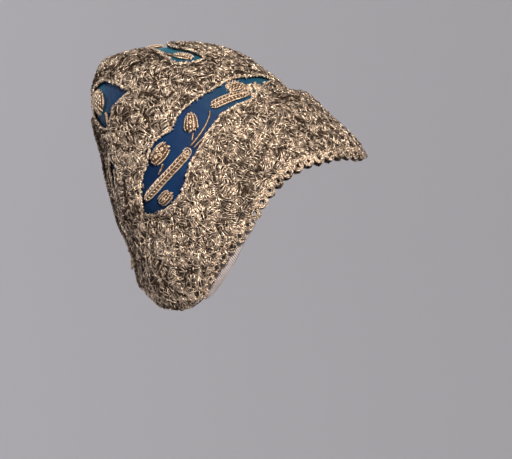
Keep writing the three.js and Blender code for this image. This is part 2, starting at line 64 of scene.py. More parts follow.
SECTIONS = [  # height, front, back, side
    (-0.05, 0.488, 0.492, 0.492), (0.06, 0.5, 0.5, 0.5), (0.16, 0.492, 0.49, 0.494),
    (0.257, 0.478, 0.45, 0.47), (0.362, 0.464, 0.416, 0.44), (0.43, 0.418, 0.401, 0.417),
    (0.514, 0.402, 0.367, 0.391), (0.623, 0.374, 0.322, 0.352), (0.706, 0.339, 0.281, 0.312),
    (0.79, 0.28, 0.249, 0.264), (0.861, 0.205, 0.215, 0.211), (0.918, 0.129, 0.181, 0.155),
    (0.957, 0.05, 0.143, 0.102), (0.986, -0.012, 0.104, 0.052), (1.0, -0.064, 0.064, 0.0),
]
RIM = [  # angle, height
    (0, 0.012), (15, 0.01), (34, 0.067), (45, 0.1), (54, 0.128), (63, 0.139), (73, 0.134),
    (86, 0.097), (97, 0.063), (109, 0.036), (122, 0.002), (132, -0.027), (141, -0.026), (151, 0),
    (165, 0.058), (173, 0.113), (180, 0.15),
]
EDGING = [(0, 1), (118, 1), (124, 0.75), (130, 0.35), (136, 0), (180, 0)]  # angle, depth
MEETING = [  # angle, top of the band, foot of the crown
    (0, 0.487, 0.487), (11, 0.5, 0.5), (16, 0.503, 0.53), (26, 0.507, 0.562), (36, 0.505, 0.585),
    (46, 0.49, 0.612), (57, 0.507, 0.62), (66, 0.515, 0.628), (76, 0.505, 0.634),
    (89, 0.468, 0.63), (98, 0.437, 0.602), (108, 0.385, 0.604), (114, 0.362, 0.598),
    (124, 0.352, 0.545), (133, 0.362, 0.5), (138, 0.385, 0.43), (142, 0.4, 0.4),
    (160, 0.405, 0.405), (180, 0.405, 0.405),
]
TOP_WINDOW_SIDE = [  # angle, low edge, high edge, of one side of it
    (26, 0.868, 0.938), (36, 0.795, 0.916), (42, 0.745, 0.896), (53, 0.76, 0.852), (60, 0.797, 0.812),
]
TOP_WINDOW = [(0, 0.893, 0.955)] + [
    (side * angle, low, high) for side in (1, -1) for angle, low, high in TOP_WINDOW_SIDE
]
BACK_WINDOW = [
    (106, 0.835, 0.85), (111, 0.83, 0.895), (118, 0.829, 0.93), (128, 0.828, 0.943),
    (136, 0.804, 0.945), (146, 0.769, 0.945), (156, 0.79, 0.945), (167, 0.82, 0.94),
    (174, 0.84, 0.93),
]
SEAM_WINDOW = [(155, 0.62, 0.67), (159, 0.57, 0.672), (164, 0.53, 0.64), (168, 0.525, 0.56)]
DENTS = [  # angle, height, spread of each, depth
    (118, 0.7, 26, 0.12, 1.6), (62, 0.72, 18, 0.08, -1.1), (30, 0.56, 22, 0.09, 0.8),
    (148, 0.3, 22, 0.12, 1.5),
]


def curve(xs, ys):
    """A smooth curve through a column of a table, with no overshoot between its rows."""
    x, y = np.array(xs, float), np.array(ys, float)
    chord = np.diff(y) / np.diff(x)
    slope = np.concatenate([chord[:1], np.zeros(len(x) - 2), chord[-1:]])
    for i in range(1, len(x) - 1):
        a, b = chord[i - 1], chord[i]
        slope[i] = 0 if a * b <= 0 else 2 * a * b / (a + b)

    def read(value):
        at = np.clip(np.asarray(value, float), x[0], x[-1])
        i = np.clip(np.searchsorted(x, at, side="right") - 1, 0, len(x) - 2)
        step = x[i + 1] - x[i]
        t = (at - x[i]) / step
        rise = y[i] * (1 + 2 * t) * (1 - t) ** 2 + y[i + 1] * t * t * (3 - 2 * t)
        return rise + step * (slope[i] * t * (1 - t) ** 2 - slope[i + 1] * t * t * (1 - t))

    return read


def climb_of(share):
    return 1 - np.sqrt(np.maximum(0, 1 - np.asarray(share, float)))


def climb_at(height):
    """The climb at a height in millimetres."""
    return climb_of(height / HEIGHT)


def share_of(climb):
    return 1 - (1 - np.asarray(climb, float)) ** 2


def from_front(angle):
    return np.abs((np.asarray(angle, float) + 540) % 360 - 180)


section_heights, *section_reaches = zip(*SECTIONS)
front_reach, back_reach, side_reach = (
    curve(climb_of(section_heights), reaches) for reaches in section_reaches
)
rim_share, edging_share = curve(*zip(*RIM)), curve(*zip(*EDGING))
meeting_angles, band_shares, crown_shares = zip(*MEETING)
band_share, crown_share = curve(meeting_angles, band_shares), curve(meeting_angles, crown_shares)


def rim_height(angle):
    return HEIGHT * rim_share(from_front(angle))


def ring_depth(angle):
    return EDGING_DEPTH * edging_share(from_front(angle))


def band_foot(angle):
    return rim_height(angle) + ring_depth(angle)


def band_top(angle):
    return HEIGHT * band_share(from_front(angle))


def crown_foot(angle):
    return HEIGHT * crown_share(from_front(angle)) + AIR


def silk_point(angle, climb):
    """Points on the outside of the silk of the upright cap, in millimetres."""
    angle, climb = np.broadcast_arrays(np.asarray(angle, float), np.asarray(climb, float))
    turn, share = np.radians(angle), share_of(climb)
    dent = sum(
        depth * np.exp(-(((from_front(angle) - a) / wa) ** 2) - ((share - h) / wh) ** 2)
        for a, h, wa, wh, depth in DENTS
    ) * np.minimum(1, DENT_FADE * (1 - climb))
    front, back = front_reach(climb) * LENGTH, back_reach(climb) * LENGTH
    half_length = (front + back) / 2 - dent
    half_width = side_reach(climb) * WIDTH - dent
    ahead = (front - back) / 2 + half_length * np.cos(turn)
    return np.stack([-half_width * np.sin(turn), -ahead, share * HEIGHT], -1)


def unit(v):
    return v / np.maximum(np.linalg.norm(v, axis=-1, keepdims=True), 1e-12)


def silk_frame(angle, climb):
    """The point, the outward normal, and the millimetres for a degree and for a whole climb."""
    angle, at = np.asarray(angle, float), np.minimum(climb, NEAR_TOP)
    turn = (silk_point(angle + TURN_STEP, at) - silk_point(angle - TURN_STEP, at)) / (2 * TURN_STEP)
    up = (silk_point(angle, at + CLIMB_STEP) - silk_point(angle, at - CLIMB_STEP)) / (2 * CLIMB_STEP)
    return silk_point(angle, climb), unit(np.cross(up, turn)), turn, up


def cap_point(angle, climb, offset):
    point, normal, _, _ = silk_frame(angle, climb)
    return point + normal * np.asarray(offset, float)[..., None]


def worn(v):
    """From the upright cap to the cap as worn."""
    x, y, z = v[..., 0], v[..., 1], v[..., 2]
    c, s = math.cos(LEAN), math.sin(LEAN)
    return np.stack([x, y * c + z * s, -y * s + z * c], -1)


print("rim at the centre front:", worn(cap_point(0.0, climb_of(0.012), 0.0)).round(1), "mm")

# %% [markdown]
# A photographer would set this cap before a seamless grey paper, with one soft light above and beside
# the camera, weaker ones from the front and the top, and one for the paper. One bent sheet makes the
# floor and the wall. The long lens keeps the outline true.

# %% Camera, backdrop and light
MM_PER_PIXEL, PICTURE_WIDTH, SENSOR_WIDTH = 0.66, 512, 36  # the last in mm
CAMERA_AWAY, CAMERA_SIDE, CAMERA_UP = 3.0, 0.00766, 0.0058
PAPER_LINE = [(-4.5, -0.9), (1.2, -0.9), (1.7, -0.8), (2.0, -0.5), (2.1, 0.0), (2.1, 4.0)]  # x, z
PAPER_HALF, PAPER_COLOR = 5, (0.438, 0.428, 0.458)
ROOM_COLOR, ROOM_STRENGTH = (0.93, 0.95, 1.0, 1), 0.16
LIGHTS = [  # name, place, watts, size, colour, aim
    ("key_softbox", (-2.1, -0.5, 1.05), 80, 0.4, (1.0, 0.97, 0.93), (0, 0, 0.04)),
    ("fill_softbox", (-1.6, 1.5, 0.5), 2.5, 1.2, (0.93, 0.96, 1.0), (0, 0, 0.04)),
    ("top_softbox", (0.3, 0.1, 1.9), 3, 0.7, (1, 1, 1), (0, 0, 0.04)),
    ("paper_softbox", (0.9, 2.4, 0.8), 34, 0.8, (1, 1, 1), (2.1, 1.2, 0.2)),
]


def plain_material(name, color, roughness):
    made = bpy.data.materials.new(name)
    made.use_nodes = True
    shader = made.node_tree.nodes["Principled BSDF"]
    shader.inputs["Base Color"].default_value = (*color, 1)
    shader.inputs["Roughness"].default_value = roughness
    return made


def placed(name, data):
    """A new object with its data, linked into the scene."""
    made = bpy.data.objects.new(name, data)
    bpy.context.collection.objects.link(made)
    return made


def mesh_object(name, points, faces):
    mesh = bpy.data.meshes.new(name)
    mesh.from_pydata([tuple(p) for p in points], [], [tuple(map(int, f)) for f in faces])
    mesh.update()
    mesh.polygons.foreach_set("use_smooth", [True] * len(mesh.polygons))
    return placed(name, mesh)


paper = mesh_object(
    "paper_backdrop",
    [(x, y, z) for x, z in PAPER_LINE for y in (-PAPER_HALF, PAPER_HALF)],
    [(2 * i, 2 * i + 1, 2 * i + 3, 2 * i + 2) for i in range(len(PAPER_LINE) - 1)],
)
paper.data.materials.append(plain_material("grey_paper", PAPER_COLOR, 0.9))

camera_data = bpy.data.cameras.new("camera")
camera_data.sensor_width = SENSOR_WIDTH
camera_data.lens = SENSOR_WIDTH * CAMERA_AWAY * 1000 / (MM_PER_PIXEL * PICTURE_WIDTH)
camera_data.clip_end = 50
camera = placed("camera", camera_data)
camera.location = (-CAMERA_AWAY, CAMERA_SIDE, CAMERA_UP)
camera.rotation_euler = (math.radians(90), 0, math.radians(-90))
bpy.context.scene.camera = camera
bpy.context.scene.view_settings.view_transform = "Standard"

world = bpy.data.worlds.new("studio")
world.use_nodes = True
world.node_tree.nodes["Background"].inputs["Color"].default_value = ROOM_COLOR
world.node_tree.nodes["Background"].inputs["Strength"].default_value = ROOM_STRENGTH
bpy.context.scene.world = world

for name, place, power, size, color, aim in LIGHTS:
    data = bpy.data.lights.new(name, "AREA")
    data.energy, data.size, data.color = power, size, color
    light = placed(name, data)
    light.location = place
    light.rotation_euler = (Vector(aim) - Vector(place)).to_track_quat("-Z", "Y").to_euler()
print("lens:", round(camera_data.lens), "mm")

# %% [markdown]
# The silk is one sewn layer with a plain inside. A grid of points follows the shape, once outside
# and once inside, and the two skins close at the rim. Fine puckers run down from the seams, because
# stitching draws silk in. The weave and the shot colour are left to the material.

# %% The silk cap
SILK_COLUMNS, SILK_ROWS = 240, 70
PUCKER, CREASE, EASE = 0.10, 0.12, 0.6  # mm, and the share of them that pressing leaves
PUCKERS_ROUND, PUCKER_SWAY, SWAY_PITCH = 46, 6, 9
CREASE_PITCH, CREASE_SWAY, CREASES_ROUND = 150, 5, 5


def closed_wall(name, angles, levels, skins, domed=False, keep=None, around=True):
    """Two skins of one grid, closed at every open edge. levels holds the climbs, column by column."""
    columns, rows = levels.shape
    spans = columns if around else columns - 1
    keep = np.ones((spans, rows - 1), bool) if keep is None else keep
    grid = [cap_point(angles[:, None], levels, np.broadcast_to(s, levels.shape)) for s in skins]
    points = np.concatenate([g.reshape(-1, 3) for g in grid])
    at = lambda skin, i, j: skin * columns * rows + (i % columns) * rows + j
    kept = lambda i, j: (around or 0 <= i < spans) and keep[i % spans, j]
    faces = []
    for i in range(spans):
        for j in range(rows - 1):
            if not keep[i, j]:
                continue
            corners = [(i, j), (i, j + 1), (i + 1, j + 1), (i + 1, j)]
            a, b, c, d = (at(0, *corner) for corner in corners)
            p, q, r, s = (at(1, *corner) for corner in corners)
            faces += [(a, b, c, d), (p, s, r, q)]
            if j == 0 or not keep[i, j - 1]:
                faces.append((p, a, d, s))
            if (j == rows - 2 and not domed) or (j < rows - 2 and not keep[i, j + 1]):
                faces.append((b, q, r, c))
            if not kept(i - 1, j):
                faces.append((p, q, b, a))
            if not kept(i + 1, j):
                faces.append((d, c, r, s))
    if domed:
        middle, top = cap_point(0.0, 1.0, 0.0), len(points)
        points = np.concatenate([points, [middle + (0, 0, float(np.mean(skin))) for skin in skins]])
        for i in range(columns):
            faces.append((at(0, i, rows - 1), top, at(0, i + 1, rows - 1)))
            faces.append((at(1, i, rows - 1), at(1, i + 1, rows - 1), top + 1))
    return mesh_object(name, worn(points) / 1000, faces)


def all_round(columns):
    return np.arange(columns) * 360.0 / columns


def rows_between(low, high, shares):
    """For each column, values at the same shares of the way from low to high."""
    return low[:, None] + (high - low)[:, None] * shares


def levels_between(low, high, rows):
    """Climbs at even steps between two heights in millimetres, column by column."""
    return rows_between(climb_at(low), climb_at(high), np.linspace(0, 1, rows + 1))


silk_angles = all_round(SILK_COLUMNS)
silk_levels = levels_between(band_foot(silk_angles) - 2 * AIR, HEIGHT, SILK_ROWS)[:, :-1]
across = silk_angles[:, None]
pucker = (
    PUCKER * np.sin(np.radians(across * PUCKERS_ROUND) + PUCKER_SWAY * np.sin(silk_levels * SWAY_PITCH))
    + CREASE * np.sin(silk_levels * CREASE_PITCH + CREASE_SWAY * np.sin(np.radians(across * CREASES_ROUND)))
)
silk_skins = [pucker * EASE - 0.05, np.full(silk_levels.shape, -SILK_WALL)]
silk = closed_wall("silk_cap_sewn", silk_angles, silk_levels, silk_skins, domed=True)
print("silk faces:", len(silk.data.polygons))

# %% [markdown]
# Two colours of thread give shot silk its changing look: a dark blue warp and a teal weft. The
# material keeps a deep blue body, and a teal sheen takes over where the cloth turns away. Where the
# silk faces up, a lighter teal is painted into its colour, a painted sheen for light from above.
# A fine wave on the cloth's own map stands for the weave, and slow noise for handling.

# %% Silk material
TURN_LENGTH = 0.45  # metres of cloth in a whole turn


def wall_uv(obj):
    """A map in metres round and up the cap, found again from each point."""
    mesh = obj.data
    co = np.empty(len(mesh.vertices) * 3)
    mesh.vertices.foreach_get("co", co)
    x, y, z = co.reshape(-1, 3).T
    c, s = math.cos(LEAN), math.sin(LEAN)
    turn = np.degrees(np.arctan2(-x, z * s - y * c)) / 360
    loops = np.empty(len(mesh.loops), int)
    mesh.loops.foreach_get("vertex_index", loops)
    uv = np.stack([turn[loops] * TURN_LENGTH, (y * s + z * c)[loops]], -1)
    mesh.uv_layers.new(name="round_and_up").data.foreach_set("uv", uv.ravel())


def feed(node, values):
    """Sets a node's inputs. A value that is another node's output is linked in."""
    for key, value in values.items():
        if isinstance(value, bpy.types.NodeSocket):
            node.id_data.links.new(value, node.inputs[key])
        else:
            node.inputs[key].default_value = value


def add(tree, kind, values=None, **settings):
    made = tree.nodes.new(kind)
    for key, value in settings.items():
        setattr(made, key, value)
    feed(made, values or {})
    return made


def material(name, **shader_values):
    made = plain_material(name, (0.5, 0.5, 0.5), 0.5)
    shader = made.node_tree.nodes["Principled BSDF"]
    feed(shader, {key.replace("_", " "): value for key, value in shader_values.items()})
    return made, made.node_tree, shader


def ramp(tree, factor, stops):
    made = add(tree, "ShaderNodeValToRGB", {"Fac": factor})
    while len(made.color_ramp.elements) < len(stops):
        made.color_ramp.elements.new(0.5)
    for element, (position, color) in zip(made.color_ramp.elements, stops):
        element.position, element.color = position, (*color, 1)
    return made.outputs["Color"]


silk_material, tree, shader = material(
    "shot_silk", Roughness=0.5, Specular_IOR_Level=0.2, Sheen_Weight=0.45,
    Sheen_Roughness=0.3, Sheen_Tint=(0.09, 0.76, 0.96, 1), Anisotropic=0.5,
)
place = add(tree, "ShaderNodeTexCoord").outputs
weave, ribs = (
    add(tree, "ShaderNodeTexWave", {
        "Vector": place["UV"], "Scale": scale, "Distortion": sway,
    }, bands_direction=way).outputs["Fac"]
    for scale, sway, way in ((1500.0, 0.6, "Y"), (2200.0, 0.4, "X"))
)
clouds = add(tree, "ShaderNodeTexNoise", {"Vector": place["Object"], "Scale": 55.0, "Detail": 4.0})
body = ramp(tree, clouds.outputs["Fac"], [(0.3, (0.001, 0.014, 0.056)), (0.7, (0.002, 0.030, 0.100))])
# Painted sheen: where the silk faces up its colour turns a lighter teal, standing in for light from above.
facing = add(tree, "ShaderNodeSeparateXYZ", {0: place["Normal"]})
sheen_from_above = add(tree, "ShaderNodeMapRange", {
    "Value": facing.outputs["Z"], "From Min": 0.35, "From Max": 0.95, "To Max": 0.85,
})
shot = add(tree, "ShaderNodeMix", {
    "Factor": sheen_from_above.outputs["Result"], "A": body, "B": (0.024, 0.100, 0.146, 1),
}, data_type="RGBA")
both = add(tree, "ShaderNodeMath", {0: weave, 1: ribs}, operation="ADD")
bump = add(tree, "ShaderNodeBump", {"Height": both.outputs[0], "Strength": 0.25, "Distance": 0.0002})
feed(shader, {"Base Color": shot.outputs["Result"], "Normal": bump.outputs["Normal"]})


def finish(piece, node, paint):
    """The last steps of a piece that stands for a solid: its material, its body, and its node hidden."""
    piece.data.materials.append(paint)
    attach(piece, "root")
    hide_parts(node)


wall_uv(silk)
finish(silk, "silk_cap", silk_material)

# %% [markdown]
# The ground of each lace is a wall of dull thread, pierced where the silk shows. It is seen only
# in the gaps between stitches, so its colour is nearly black, painted shade for the depth of the
# lace, and it is rough. The same grid function makes it: the rows nearest a window's edge are
# moved onto that edge, and the faces inside the window are left out.

# %% The grounds of the two laces
LACE_COLUMNS, BAND_ROWS, CROWN_ROWS = 360, 30, 64
GROUND_FACE = LACE_FACE - 0.3
THIN_END = 0.002  # the least climb between a window's two edges


def window_edges(rows, side):
    """The first and last angle of a window, and its low and high edge."""
    angles, lows, highs = zip(*sorted((side * angle, low, high) for angle, low, high in rows))
    return angles[0], angles[-1], curve(angles, lows), curve(angles, highs)


WINDOWS = [window_edges(TOP_WINDOW, 1)] + [
    window_edges(rows, side) for side in (1, -1) for rows in (BACK_WINDOW, SEAM_WINDOW)
]


def signed(angle):
    return (np.asarray(angle, float) + 180) % 360 - 180


lace_angles = all_round(LACE_COLUMNS)
band_levels = levels_between(band_foot(lace_angles) + AIR, band_top(lace_angles), BAND_ROWS)
crown_levels = levels_between(crown_foot(lace_angles), HEIGHT, CROWN_ROWS)[:, :-1]
crown_keep = np.ones((LACE_COLUMNS, crown_levels.shape[1] - 1), bool)
for first, last, low, high in WINDOWS:
    for i, angle in enumerate(signed(lace_angles)):
        if first <= angle <= last:
            bottom, top = climb_of(low(angle)), climb_of(high(angle))
            j0 = int(np.argmin(np.abs(crown_levels[i] - bottom)))
            j1 = max(j0 + 1, int(np.argmin(np.abs(crown_levels[i] - top))))
            crown_levels[i, j0], crown_levels[i, j1] = bottom, max(top, bottom + THIN_END)
            crown_keep[i, j0:j1] = False
band_ground = closed_wall("band_lace_ground", lace_angles, band_levels, [GROUND_FACE, AIR])
crown_ground = closed_wall(
    "crown_lace_ground", lace_angles, crown_levels, [GROUND_FACE, AIR], domed=True, keep=crown_keep
)
print("lace ground faces:", len(band_ground.data.polygons), len(crown_ground.data.polygons))

# %% [markdown]
# Gilt thread is a thin metal strip wound on silk. Each stitch has its own tone, kept in an
# attribute that Geometry Nodes carry from its point to its mesh; in the fans of the lace that tone
# also holds painted shade. Slow noise adds tarnish. The group below mixes them, and each material
# that uses it chooses its own light and dark colours.

# %% Thread materials
def node_group(name, kind, sockets):
    """A node group, what it is given and the node that takes its result."""
    made = bpy.data.node_groups.new(name, kind)
    for socket, form, way in sockets:
        made.interface.new_socket(socket, in_out=way, socket_type="NodeSocket" + form)
    return made, add(made, "NodeGroupInput").outputs, add(made, "NodeGroupOutput")


threads, given, result = node_group("thread_tone", "ShaderNodeTree", [
    ("Bright", "Color", "INPUT"), ("Dull", "Color", "INPUT"), ("Tarnish", "Float", "INPUT"),
    ("Color", "Color", "OUTPUT"), ("Roughness", "Float", "OUTPUT"), ("Normal", "Vector", "OUTPUT"),
])
tone = add(threads, "ShaderNodeAttribute", attribute_name="tone").outputs["Fac"]
where = add(threads, "ShaderNodeTexCoord").outputs["Object"]
patches, twist = (
    add(threads, "ShaderNodeTexNoise", {"Vector": where, **values}).outputs["Fac"]
    for values in ({"Scale": 60.0, "Detail": 5.0, "Roughness": 0.6}, {"Scale": 3500.0, "Detail": 2.0})
)
spread = add(threads, "ShaderNodeMapRange", {"Value": patches, "From Min": 0.38, "From Max": 0.66})
soiling = add(threads, "ShaderNodeMath", {
    0: spread.outputs["Result"], 1: given["Tarnish"], 2: tone,
}, operation="MULTIPLY_ADD").outputs[0]
duller = add(threads, "ShaderNodeMath", {0: soiling, 1: -0.15}, operation="ADD", use_clamp=True)
factor = duller.outputs[0]
mixer = add(threads, "ShaderNodeMix", {
    "Factor": factor, "A": given["Bright"], "B": given["Dull"],
}, data_type="RGBA")
rough = add(threads, "ShaderNodeMapRange", {"Value": factor, "To Min": 0.32, "To Max": 0.56})
bump = add(threads, "ShaderNodeBump", {"Height": twist, "Strength": 0.5, "Distance": 0.00015})
feed(result, {
    "Color": mixer.outputs["Result"], "Roughness": rough.outputs["Result"], "Normal": bump.outputs["Normal"],
})


def thread_material(name, bright, dull, darkening, metallic):
    made, tree, shader = material(name, Metallic=metallic, Specular_IOR_Level=0.5)
    toned = add(tree, "ShaderNodeGroup", {
        "Bright": (*bright, 1), "Dull": (*dull, 1), "Tarnish": darkening,
    }, node_tree=threads).outputs
    feed(shader, {"Base Color": toned["Color"], "Roughness": toned["Roughness"], "Normal": toned["Normal"]})
    return made


lace_material = thread_material("gilt_thread", (0.98, 0.77, 0.58), (0.070, 0.040, 0.023), 0.44, 0.85)
gold_material = thread_material(
    "embroidery_thread", (0.95, 0.74, 0.54), (0.30, 0.185, 0.105), 0.35, 0.75
)

# The ground is painted as a lower layer of the same threads, nearly black between its wavy lines: painted
# shade between the threads.
ground_material, tree, shader = material("under_threads", Metallic=0.3, Roughness=0.6)
place = add(tree, "ShaderNodeTexCoord").outputs
lines = add(tree, "ShaderNodeTexWave", {
    "Vector": place["Object"], "Scale": 210.0, "Distortion": 14.0, "Detail": 3.0,
    "Detail Scale": 1.6, "Detail Roughness": 0.6,
}, bands_direction="DIAGONAL").outputs["Fac"]
lines_and_shade = ramp(tree, lines, [
    (0.34, (0.006, 0.005, 0.006)), (0.66, (0.075, 0.048, 0.031)), (0.92, (0.24, 0.165, 0.11)),
])
bump = add(tree, "ShaderNodeBump", {"Height": lines, "Strength": 0.8, "Distance": 0.0006})
feed(shader, {"Base Color": lines_and_shade, "Normal": bump.outputs["Normal"]})
finish(band_ground, "band_lace", ground_material)
finish(crown_ground, "crown_lace", ground_material)

# %% [markdown]
# One stitch is a low arch of thread, a few sides round and two steps long. Geometry Nodes put a
# copy at every point of a cloud: the point says where the stitch lies, which way it runs, how long
# it is and its tone. The tree ends in real mesh with its material, ready to be kept.

# %% The stitch tree
STITCH_SIDES, STITCH_STEPS = 4, 2
THREAD_HALF, THREAD_SWELL = 0.48, 0.12  # of the thickness
ARCH, SUNK = 0.9, 0.55  # how high a stitch arches and how deep its ends go in, in thicknesses
BOW = 0.22  # how far a bowed stitch swings aside, in thicknesses


def stitch_mesh(bow):
    points, faces, n = [], [], STITCH_SIDES
    for i in range(STITCH_STEPS + 1):
        t = i / STITCH_STEPS
        swell = math.sin(math.pi * t)
        thick = THREAD_HALF + THREAD_SWELL * swell
        for k in range(n):
            a = math.tau * (k + 0.5) / n
            side, top = thick * math.cos(a), thick * math.sin(a)
            points.append((t - 0.5, side + bow * (swell - 0.5), top + ARCH * swell - SUNK))
    for i in range(STITCH_STEPS):
        for k in range(n):
            a, b = i * n + k, i * n + (k + 1) % n
            faces.append((a, b, b + n, a + n))
    faces.append(tuple(range(n - 1, -1, -1)))
    faces.append(tuple(STITCH_STEPS * n + k for k in range(n)))
    return points, faces


ATTRIBUTES = {"way": "FLOAT_VECTOR", "out": "FLOAT_VECTOR", "long": "FLOAT", "tone": "FLOAT"}

tree, given, result = node_group("lay_stitches", "GeometryNodeTree", [
    ("Geometry", "Geometry", "INPUT"), ("Stitch", "Object", "INPUT"), ("Thickness", "Float", "INPUT"),
    ("Seed", "Int", "INPUT"), ("Thread", "Material", "INPUT"), ("Geometry", "Geometry", "OUTPUT"),
])
lay_stitches = tree
way, out, long = (
    add(tree, "GeometryNodeInputNamedAttribute", {"Name": key}, data_type=ATTRIBUTES[key])
    .outputs["Attribute"] for key in ("way", "out", "long")
)
along = add(tree, "FunctionNodeAlignRotationToVector", {"Vector": way}, axis="X").outputs[0]
upright = add(tree, "FunctionNodeAlignRotationToVector", {
    "Rotation": along, "Vector": out,
}, axis="Z", pivot_axis="X").outputs[0]
source = add(tree, "GeometryNodeObjectInfo", {"Object": given["Stitch"]}).outputs["Geometry"]
wobble = add(tree, "FunctionNodeRandomValue", {2: 0.8, 3: 1.25, "Seed": given["Seed"]}, data_type="FLOAT")
thick = add(tree, "ShaderNodeMath", {
    0: given["Thickness"], 1: wobble.outputs[1],
}, operation="MULTIPLY").outputs[0]
scale = add(tree, "ShaderNodeCombineXYZ", {"X": long, "Y": thick, "Z": thick}).outputs[0]
made = add(tree, "GeometryNodeInstanceOnPoints", {
    "Points": given["Geometry"], "Instance": source, "Rotation": upright, "Scale": scale,
}).outputs[0]
made = add(tree, "GeometryNodeRealizeInstances", {"Geometry": made}).outputs[0]
made = add(tree, "GeometryNodeSetShadeSmooth", {"Geometry": made}).outputs[0]
made = add(tree, "GeometryNodeSetMaterial", {"Geometry": made, "Material": given["Thread"]}).outputs[0]
feed(result, {"Geometry": made})

straight_stitch = mesh_object("straight_stitch", *stitch_mesh(0.0))
bowed_stitch = mesh_object("bowed_stitch", *stitch_mesh(BOW))
straight_stitch.hide_render = bowed_stitch.hide_render = True


def sew(name, stitches, thickness, thread, seed, stitch=straight_stitch):
    """stitches: points and directions in the upright cap and lengths, in mm, and tones from 0 to 1."""
    mesh = bpy.data.meshes.new(name + "_cloud")
    mesh.vertices.add(len(stitches["point"]))
    mesh.vertices.foreach_set("co", (worn(stitches["point"]) / 1000).ravel())
    for key, values in (
        ("way", worn(stitches["way"])), ("out", worn(stitches["out"])),
        ("long", stitches["long"] / 1000), ("tone", stitches["tone"]),
    ):
        field = "vector" if ATTRIBUTES[key] == "FLOAT_VECTOR" else "value"
        mesh.attributes.new(key, ATTRIBUTES[key], "POINT").data.foreach_set(field, values.ravel())
    holder = placed(name + "_cloud", mesh)
    modifier = holder.modifiers.new("stitches", "NODES")
    modifier.node_group = lay_stitches
    sockets = {s.name: s.identifier for s in lay_stitches.interface.items_tree if s.in_out == "INPUT"}
    for key, value in {
        "Stitch": stitch, "Thickness": thickness / 1000, "Seed": seed, "Thread": thread,
    }.items():
        modifier[sockets[key]] = value
    bpy.context.view_layer.update()
    grown = holder.evaluated_get(bpy.context.evaluated_depsgraph_get())
    made = placed(name, bpy.data.meshes.new_from_object(grown))
    bpy.data.objects.remove(holder)
    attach(made, "root")
    triangles = sum(len(p.vertices) - 2 for p in made.data.polygons)
    print(name, "stitches:", len(stitches["point"]), "triangles:", triangles)


# %% [markdown]
# Every stitch on the cap is laid by one function. It takes places on the cloth, moves them by
# millimetres across and up, and turns a heading in the plane of the cloth into a direction in space.
# It also keeps where both ends of a stitch come down, so that none is left hanging over a gap.

# %% Laying stitches on the cloth
SEAM_BACK, SEAM_FRONT = 141, 12  # beyond these angles the two laces meet with no window between
WINDOW_MARGIN = 0.8  # degrees kept clear beside a window


def moved(angle, climb, across, up):
    """Places moved by millimetres across and up the cloth, with the millimetres per degree and climb."""
    _, _, per_turn, per_climb = silk_frame(angle, climb)
    wide = np.maximum(np.linalg.norm(per_turn, axis=-1), 0.05)  # never nothing, also at the very top
    tall = np.linalg.norm(per_climb, axis=-1)
    return angle + across / wide, np.clip(climb + up / tall, LOWEST, NEAR_TOP), wide, tall


def laid(angle, climb, across, up, heading, long, tone, lift, tilt=0.0):
    """Stitches set off from places by millimetres across and up the cloth, heading in radians."""
    angle, climb, across, up, heading, long, tone, lift, tilt = np.broadcast_arrays(
        *(np.asarray(v, float) for v in (angle, climb, across, up, heading, long, tone, lift, tilt))
    )
    at_angle, at_climb, wide, tall = moved(angle, climb, across, up)
    point, normal, per_turn, _ = silk_frame(at_angle, at_climb)
    east = unit(per_turn)
    north = np.cross(normal, east)
    north = north * np.where(north[..., 2:3] < 0, -1, 1)
    way = east * np.cos(heading)[..., None] + north * np.sin(heading)[..., None]
    halves = np.stack([-long / 2, long / 2], -1)  # from the middle of a stitch to its two ends
    return {
        "angle": at_angle, "climb": at_climb, "point": point + normal * lift[..., None],
        "way": unit(way + normal * tilt[..., None]), "out": normal,
        "long": long, "tone": np.clip(tone, 0, 1),
        "end_angle": at_angle[..., None] + halves * np.cos(heading)[..., None] / wide[..., None],
        "end_climb": at_climb[..., None] + halves * np.sin(heading)[..., None] / tall[..., None],
    }


def joined(parts):
    return {key: np.concatenate([p[key] for p in parts]) for key in parts[0]}


def in_lace(angle, climb, margin):
    """Which of the two laces covers a place: 1 for the band, 2 for the crown, 0 for neither."""
    share = share_of(climb)
    height = share * HEIGHT
    band = (height > band_foot(angle) + margin) & (height < band_top(angle) - margin)
    crown = height > crown_foot(angle) + margin
    edge, turned, around = margin / HEIGHT, signed(angle), from_front(angle)
    for first, last, low, high in WINDOWS:
        reach = (turned > first - WINDOW_MARGIN) & (turned < last + WINDOW_MARGIN)
        crown &= ~(reach & (share > low(turned) - edge) & (share < high(turned) + edge))
    seam = (around > SEAM_BACK) | (around < SEAM_FRONT)
    seam &= (height > band_top(angle) - margin) & (height < crown_foot(angle) + margin + 0.5)
    return np.where(band, 1, np.where(crown, 2, np.where(seam, 1, 0)))


# %% [markdown]
# A lace maker builds the cloth from small fans of thread. Here fans are thrown on the surface with a
# least distance between them. Each holds threads that spread from its foot and an arc that binds
# their ends. Loose threads lie between the fans, and worn ones stand up from the nape. Stitches that
# would hang over a window or the rim are left out.

